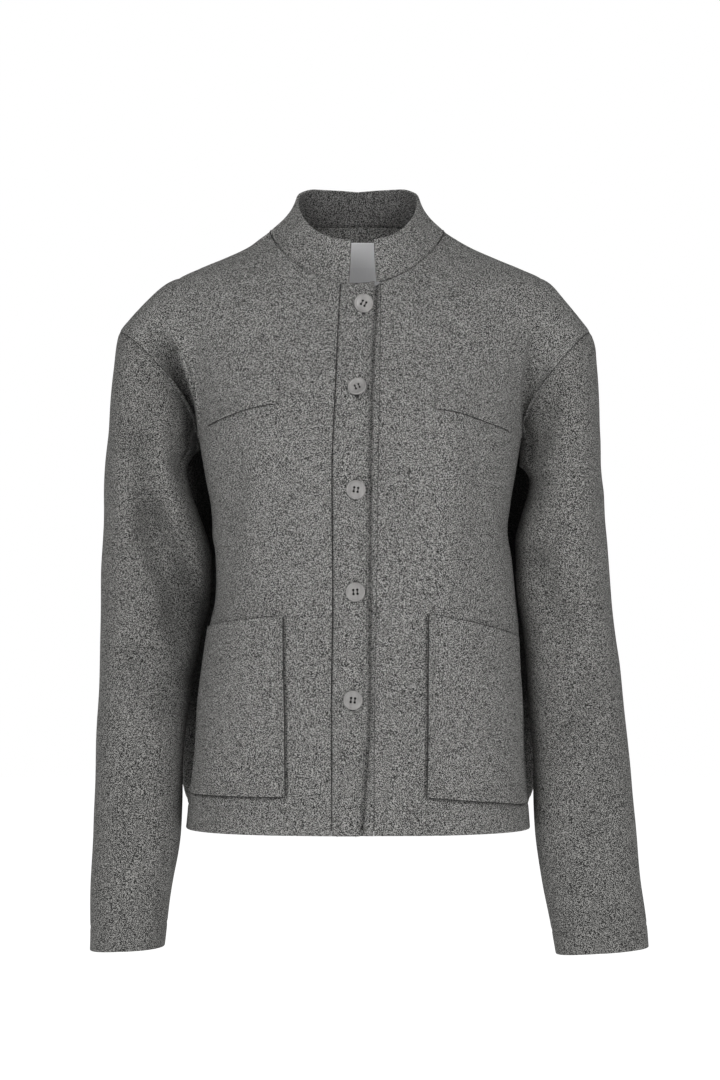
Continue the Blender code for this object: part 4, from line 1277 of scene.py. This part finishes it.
def makeButton(name):
    r, h, rim, dish = (buttonStyle[k] for k in ("radius", "height", "rim", "dish"))
    profile = [(0, 0), (r - 2.2, 0), (r - 1.0, 0.35), (r - 0.2, 1.3), (r, 1.9), (r - 0.15, 2.5),
               (r - 0.55, h - 0.08), (r - 0.9, h), (r - rim, h - 0.1), (r - rim - 0.5, h - dish * 0.7),
               (r - rim - 1.3, h - dish), (r * 0.45, h - dish - 0.1), (0.5, h - dish - 0.15),
               (0, h - dish - 0.15)]
    verts, faces = latheProfile(profile, buttonStyle["sides"])
    disc = addMesh(name, verts, faces)
    spread, hole = buttonStyle["holeSpread"], buttonStyle["hole"]
    tube, sides = latheProfile([(0, -1), (hole, -1), (hole, h + 1), (0, h + 1)], 16)
    holes = [(tube + (dx * spread, dy * spread, 0), sides) for dx in (-1, 1) for dy in (-1, 1)]
    cutter = addMesh(name + "Holes", *joined(holes))
    drill = disc.modifiers.new("holes", "BOOLEAN")
    drill.operation, drill.solver, drill.object = "DIFFERENCE", "EXACT", cutter
    drilled = bpy.data.meshes.new_from_object(disc.evaluated_get(bpy.context.evaluated_depsgraph_get()))
    disc.modifiers.clear()
    disc.data = drilled
    bpy.data.objects.remove(cutter, do_unlink=True)
    return disc


def tubeAlong(path, radius, sides=8):
    # a closed round strand along a path of points
    path = np.asarray(path, float)
    ahead = unit(np.gradient(path, axis=0))
    across = unit(np.cross(ahead, (0.31, 0.17, 0.93)))
    up = np.cross(ahead, across)
    verts, faces = [], []
    for p, a, b in zip(path, across, up):
        for k in range(sides):
            turn = 2 * math.pi * k / sides
            verts.append(p + radius * (math.cos(turn) * a + math.sin(turn) * b))
    for i in range(len(path) - 1):
        for k in range(sides):
            m = (k + 1) % sides
            faces.append((i * sides + k, i * sides + m, (i + 1) * sides + m, (i + 1) * sides + k))
    faces.append(tuple(range(sides - 1, -1, -1)))
    faces.append(tuple((len(path) - 1) * sides + k for k in range(sides)))
    return verts, faces


def strandPaths():
    # each dips into the holes at both ends
    spread, hole = buttonStyle["holeSpread"], buttonStyle["hole"]
    top = buttonStyle["height"] - buttonStyle["dish"] - 0.1
    at = np.linspace(-1, 1, 17)
    height = top + 0.26 - 5.0 * np.clip(np.abs(at) - 0.72, 0, 1)
    for across in (-spread - 0.3, -spread + 0.3, spread - 0.3, spread + 0.3):
        yield np.stack([np.full(len(at), across), at * (spread - hole + 0.5), height], axis=-1)


def joined(parts):
    verts, faces = [], []
    for partVerts, partFaces in parts:
        shift = len(verts)
        verts += [tuple(v) for v in partVerts]
        faces += [tuple(i + shift for i in face) for face in partFaces]
    return np.array(verts), faces


for count, ((x, z), turn) in enumerate(zip(buttonStyle["places"], buttonStyle["turn"]), start=1):
    normal = Vector(surfaceNormal(x, z, frontSide))
    rest = Vector(onSurface(x, z, frontSide)) + normal * (buttonStyle["stand"] + buttonStyle["gap"])
    # the disc's own up stays up on the jacket
    side3 = Vector((0, 0, 1)).cross(normal).normalized()
    up3 = normal.cross(side3).normalized()
    place3 = Matrix((side3, up3, normal)).transposed().to_4x4()
    place3.translation = rest * metres
    nod, sway = buttonStyle["lean"][count - 1]
    spin = (Matrix.Rotation(math.radians(nod), 4, "X") @ Matrix.Rotation(math.radians(sway), 4, "Y")
            @ Matrix.Rotation(math.radians(turn), 4, "Z"))
    seat = place3 @ spin
    disc = makeButton(f"button{count}")
    disc.data.transform(seat)
    disc.data.shade_smooth()
    disc.data.set_sharp_from_angle(angle=math.radians(buttonStyle["sharp"]))
    finishPiece(disc, buttonShell, "button", f"button_{count}")
    # two strands through the holes, and the wound thread that the button stands on; both are real thread,
    # coloured near black as painted shade in the holes
    strands = [tubeAlong(path, buttonStyle["strand"]) for path in strandPaths()]
    wide, deep = buttonStyle["shank"], buttonStyle["gap"] + buttonStyle["shankDeep"]
    wound = latheProfile([(0, -deep), (wide, -deep), (wide, -0.05), (0, -0.05)], 32)
    for name, made in (("buttonThread", joined(strands)), ("buttonShank", wound)):
        piece = addMesh(f"{name}{count}", *made)
        piece.data.transform(seat)
        finishPiece(piece, darkThreadAndShade, "button")
print("jacket: buttons made")


# Stitches: one node tree sets short thread lengths along a path

def stitchTree():
    tree = bpy.data.node_groups.new("stitchRun", "GeometryNodeTree")
    face = tree.interface
    face.new_socket(name="Geometry", in_out="INPUT", socket_type="NodeSocketGeometry")
    for label, value in (("Pitch", 0.003), ("Stitch Length", 0.0022), ("Thread Radius", 0.0003)):
        socket = face.new_socket(name=label, in_out="INPUT", socket_type="NodeSocketFloat")
        socket.default_value = value
    face.new_socket(name="Thread", in_out="INPUT", socket_type="NodeSocketMaterial")
    face.new_socket(name="Geometry", in_out="OUTPUT", socket_type="NodeSocketGeometry")
    nodes = {name: tree.nodes.new(kind) for name, kind in (
        ("given", "NodeGroupInput"), ("path", "GeometryNodeMeshToCurve"),
        ("spots", "GeometryNodeCurveToPoints"), ("ball", "GeometryNodeMeshUVSphere"),
        ("halve", "ShaderNodeMath"), ("size", "ShaderNodeCombineXYZ"),
        ("shape", "GeometryNodeTransform"), ("sow", "GeometryNodeInstanceOnPoints"),
        ("real", "GeometryNodeRealizeInstances"), ("paint", "GeometryNodeSetMaterial"),
        ("made", "NodeGroupOutput"),
    )}
    nodes["spots"].mode = "LENGTH"
    nodes["halve"].operation = "MULTIPLY"
    setInputs(nodes["halve"], {1: 0.5})
    setInputs(nodes["ball"], {"Segments": 6, "Rings": 4, "Radius": 1.0})
    for source, output, target, socket in (
        ("given", "Geometry", "path", 0), ("path", 0, "spots", "Curve"),
        ("given", "Pitch", "spots", "Length"), ("given", "Stitch Length", "halve", 0),
        ("given", "Thread Radius", "size", "X"), ("given", "Thread Radius", "size", "Y"),
        ("halve", 0, "size", "Z"), ("ball", "Mesh", "shape", "Geometry"),
        ("size", 0, "shape", "Scale"), ("spots", "Points", "sow", "Points"),
        ("spots", "Rotation", "sow", "Rotation"), ("shape", 0, "sow", "Instance"),
        ("sow", 0, "real", 0), ("real", 0, "paint", "Geometry"),
        ("given", "Thread", "paint", "Material"), ("paint", 0, "made", 0),
    ):
        tree.links.new(nodes[source].outputs[output], nodes[target].inputs[socket])
    return tree


stitchRun = stitchTree()
stitchStyle = {"pitch": 3.0, "length": 2.3, "radius": 0.3, "sunk": 0.05}


def sewAlong(name, paths, slot, thread, pitch=None, length=None, radius=None):
    verts, edges = [], []
    for path in paths:
        start = len(verts)
        verts += [tuple(p * metres) for p in np.asarray(path)]
        edges += [(start + i, start + i + 1) for i in range(len(path) - 1)]
    data = bpy.data.meshes.new(name)
    data.from_pydata(verts, edges, [])
    piece = bpy.data.objects.new(name, data)
    bpy.context.scene.collection.objects.link(piece)
    run = piece.modifiers.new("stitches", "NODES")
    run.node_group = stitchRun
    sizes = {
        "Pitch": (pitch or stitchStyle["pitch"]) * metres,
        "Stitch Length": (length or stitchStyle["length"]) * metres,
        "Thread Radius": (radius or stitchStyle["radius"]) * metres,
        "Thread": thread,
    }
    for item in stitchRun.interface.items_tree:
        if item.item_type == "SOCKET" and item.in_out == "INPUT" and item.name in sizes:
            run[item.identifier] = sizes[item.name]
    sewn = bpy.data.meshes.new_from_object(piece.evaluated_get(bpy.context.evaluated_depsgraph_get()))
    piece.modifiers.clear()
    piece.data = sewn
    sewn.shade_smooth()
    return finishPiece(piece, thread, slot)


def gridLine(points, normals, rows, columnsAt, lift=0.0):
    # a line across a grid at fractional rows and columns
    rows, columnsAt = np.broadcast_arrays(np.asarray(rows, float), np.asarray(columnsAt, float))
    i = np.clip(np.floor(rows).astype(int), 0, points.shape[0] - 2)
    j = np.clip(np.floor(columnsAt).astype(int), 0, points.shape[1] - 2)
    a, b = (rows - i)[:, None], (columnsAt - j)[:, None]

    def blend(grid):
        low = mix(grid[i, j], grid[i, j + 1], b)
        high = mix(grid[i + 1, j], grid[i + 1, j + 1], b)
        return mix(low, high, a)

    return blend(points) + unit(blend(normals)) * lift


def columnFor(points, row, far):
    # fractional column at a distance from the first column
    run = lengths(points[row])
    far = far if far >= 0 else run[-1] + far
    return np.interp(far, run, np.arange(len(run)))


def verticalSeam(name, far):
    points = panels[name]
    rows = np.arange(points.shape[0])
    at = [columnFor(points, row, far) for row in rows]
    return gridLine(points, outwardNormals(points), rows, at, stitchStyle["sunk"])


def levelSeam(name, z, inset=0.6):
    # along a panel's hem at one height
    points = panels[name]
    row = np.interp(z, points[:20, points.shape[1] // 2, 2], np.arange(20))
    at = np.linspace(inset, points.shape[1] - 1 - inset, points.shape[1])
    return gridLine(points, outwardNormals(points), row, at, stitchStyle["sunk"])


# the shadow that closes each seam and each sewn-on edge: radius, how deep it lies
seamShade = {
    "armhole": (0.42, 0.12),
    "collar": (0.4, 0.15),
    "band": (0.5, 0.55),
    "welt": (0.42, 0.5),
    "pocketInner": (0.75, 0.7),
    "pocketLow": (0.6, 0.6),
    "pocketTop": (0.42, 0.9),
}
shadeThread = threadMaterial("seamShade", (0.02, 0.02, 0.019))


def shadeEdge(name, rows, columnsAt, kind, middle=bodyMiddle):
    points = panels[name]
    radius, deep = seamShade[kind]
    normals = outwardNormals(points, middle)
    return tubeAlong(points[rows, columnsAt] - normals[rows, columnsAt] * deep, radius)


shades = []
armholeRows = slice(len(hemHeights()), None)
for name in ("frontRight", "frontLeft"):
    shades.append(shadeEdge(name, armholeRows, -1, "armhole"))
    shades.append(shadeEdge(name, slice(2, -2), 0, "band"))
shades += [shadeEdge("backPanel", armholeRows, column, "armhole") for column in (0, -1)]
shades.append(shadeEdge("standCollar", 0, slice(1, -1), "collar", 0))
shades += [shadeEdge(name, 0, slice(1, -3), "welt") for name in ("weltRight", "weltLeft")]
for name in ("pocketRight", "pocketLeft"):
    shades.append(shadeEdge(name, slice(1, -1), 0, "pocketInner", pocketMiddle))
    shades.append(shadeEdge(name, 0, slice(1, -2), "pocketLow", pocketMiddle))
    shades.append(shadeEdge(name, -1, slice(1, -2), "pocketTop", pocketMiddle))
finishPiece(addMesh("seamShadows", *joined(shades)), shadeThread, "wool")

hemStitch = cloth["hem"] + cloth["hemTurn"]
paths = [levelSeam(name, hemStitch) for name in ("frontRight", "frontLeft", "backPanel")]
sewAlong("hemStitches", paths, "wool", seamThread)

cuffRows = [panels[name][mesh["sleeveRows"] + 4] for name in ("sleeveRight", "sleeveLeft")]
paths = [np.concatenate([row, row[:1]]) for row in cuffRows]
sewAlong("cuffStitches", paths, "wool_sleeve", seamThread)

paths = [verticalSeam("bandUpper", far) for far in (bandStyle["stitchIn"], -bandStyle["edgeStitch"])]
sewAlong("bandStitches", paths, "wool", seamThread)

paths = []
for name in ("pocketRight", "pocketLeft"):
    points = panels[name]
    normals = outwardNormals(points, pocketMiddle)
    far = pocketStyle["stitch"]
    lowRow = np.interp(far, lengths(points[:, 40]), np.arange(points.shape[0]))
    rows = np.linspace(points.shape[0] - 1, lowRow, 90)
    innerColumn = np.interp(far, lengths(points[50]), np.arange(points.shape[1]))
    outerColumn = points.shape[1] - 1 - innerColumn
    level = np.linspace(innerColumn, outerColumn, 90)
    for rowsAt, columnsAt in ((rows, innerColumn), (lowRow, level), (rows, outerColumn)):
        paths.append(gridLine(points, normals, rowsAt, columnsAt, stitchStyle["sunk"]))
sewAlong("pocketStitches", paths, "wool", seamThread)

paths = []
for name in ("weltRight", "weltLeft"):
    points = panels[name]
    rows = np.linspace(0.6, weltStyle["rows"] - 0.4, 40)
    paths += [gridLine(points, outwardNormals(points), rows, column, 0.1) for column in (0.4, 1.1)]
sewAlong("weltTacks", paths, "wool", darkThreadAndShade, pitch=1.1, length=0.9, radius=0.26)

# inside of the neck: edge stitching below the collar's seam
points = panels["backPanel"]
neckRow = points.shape[0] - 1 - 1.4
neckColumns = np.linspace(columns - mesh["neckColumns"] + 2, columns + mesh["neckColumns"] - 2, 90)
inner = gridLine(points, outwardNormals(points), neckRow, neckColumns, -cloth["wall"] - 0.1)
sewAlong("neckStitches", [inner], "wool", seamThread)

# buttonholes: a near-black tube in each slit, painted as its shade, wrapped in thread, mostly under each
# button
holeStyle = {"long": 21.5, "wide": 1.3}


def holeLine(x, z, reach, count, lift):
    # an upright line on the upper band's face
    x, z = np.full(count, float(x)), z + np.linspace(-reach, reach, count)
    rise = bandStyle["upperFace"] + bandStyle["wave"] * waveHeight(x, z) + lift
    return onSurface(x, z, frontSide) + surfaceNormal(x, z, frontSide) * rise[:, None]


slitShades, wraps = [], []
for x, z in buttonStyle["places"]:
    reach = holeStyle["long"] / 2
    wraps += [holeLine(x + edge * holeStyle["wide"] * 0.75, z, reach, 40, 0.05) for edge in (-1, 1)]
    slitShades.append(tubeAlong(holeLine(x, z, reach - 0.6, 24, -0.25), 0.55, 6))
finishPiece(addMesh("buttonholeSlitShade", *joined(slitShades)), darkThreadAndShade, "wool")
sewAlong("buttonholeThread", wraps, "wool", darkThreadAndShade, pitch=0.7, length=0.9, radius=0.5)
print("jacket: stitches made")


# Floor, light and camera

studio = {
    "floor": -900.0, "floorHalf": 6000.0,
    "ambient": 0.2,
    "leftSide": {"at": (-1960, -2950, 1100), "size": 1000, "power": 43.0},
    "rightSide": {"at": (1960, -2950, 900), "size": 1000, "power": 41.0},
    "distance": 4000.0, "height": -305.0, "halfView": 540.0,
}


def whiteMaterial():
    material, tree, shader = newMaterial("studioWhite")
    place = objectPlace(tree)
    speck = addNoise(tree, place, 3.0, 2.0, 0.5)
    colour = addColourMix(tree, speck, (0.86, 0.86, 0.86), (0.9, 0.9, 0.9))
    tree.links.new(colour, shader.inputs["Base Color"])
    setInputs(shader, {"Roughness": 0.9, "Emission Color": (1, 1, 1, 1)})
    rays = addNode(tree, "ShaderNodeLightPath")
    glow = addMath(tree, "MULTIPLY_ADD", rays.outputs["Is Camera Ray"], 0.6, 0.25)
    tree.links.new(glow, shader.inputs["Emission Strength"])
    return material


half = studio["floorHalf"]
corners = [(x * half, y * half, studio["floor"]) for x, y in ((-1, -1), (1, -1), (1, 1), (-1, 1))]
floor = addMesh("studioFloor", corners, [(0, 1, 2, 3)])
floor.data.materials.append(whiteMaterial())

scene = bpy.context.scene
world = bpy.data.worlds.new("studioLight")
scene.world = world
world.use_nodes = True
tree = world.node_tree
tree.nodes.clear()
lit = addNode(tree, "ShaderNodeBackground")
setInputs(lit, {"Color": (1, 1, 1, 1), "Strength": studio["ambient"]})
seen = addNode(tree, "ShaderNodeBackground")
setInputs(seen, {"Color": (1, 1, 1, 1), "Strength": 1.0})
chooser = addNode(tree, "ShaderNodeMixShader")
rays = addNode(tree, "ShaderNodeLightPath")
result = addNode(tree, "ShaderNodeOutputWorld")
tree.links.new(rays.outputs["Is Camera Ray"], chooser.inputs[0])
tree.links.new(lit.outputs[0], chooser.inputs[1])
tree.links.new(seen.outputs[0], chooser.inputs[2])
tree.links.new(chooser.outputs[0], result.inputs[0])
scene.view_settings.view_transform = "Standard"
scene.view_settings.look = "None"

aim = Vector((0, 0, -350)) * metres
for name in ("leftSide", "rightSide"):
    spec = studio[name]
    lamp = bpy.data.lights.new(name + "Softbox", "AREA")
    lamp.shape = "SQUARE"
    lamp.size = spec["size"] * metres
    lamp.energy = spec["power"]
    holder = bpy.data.objects.new(name + "Softbox", lamp)
    holder.location = Vector(spec["at"]) * metres
    holder.rotation_mode = "QUATERNION"
    holder.rotation_quaternion = (aim - holder.location).to_track_quat("-Z", "Y")
    scene.collection.objects.link(holder)

lens = bpy.data.cameras.new("frontCamera")
lens.sensor_fit = "VERTICAL"
lens.sensor_width = lens.sensor_height = 36.0
lens.lens = 18.0 * studio["distance"] / studio["halfView"]
lens.clip_start, lens.clip_end = 0.1, 50.0
camera = bpy.data.objects.new("frontCamera", lens)
camera.location = (0, -studio["distance"] * metres, studio["height"] * metres)
camera.rotation_euler = (math.pi / 2, 0, 0)
scene.collection.objects.link(camera)
scene.camera = camera
print("jacket: studio made")

total = sum(len(piece.data.polygons) for piece in madePieces.values())
print("jacket:", len(madePieces), "pieces,", total, "faces")
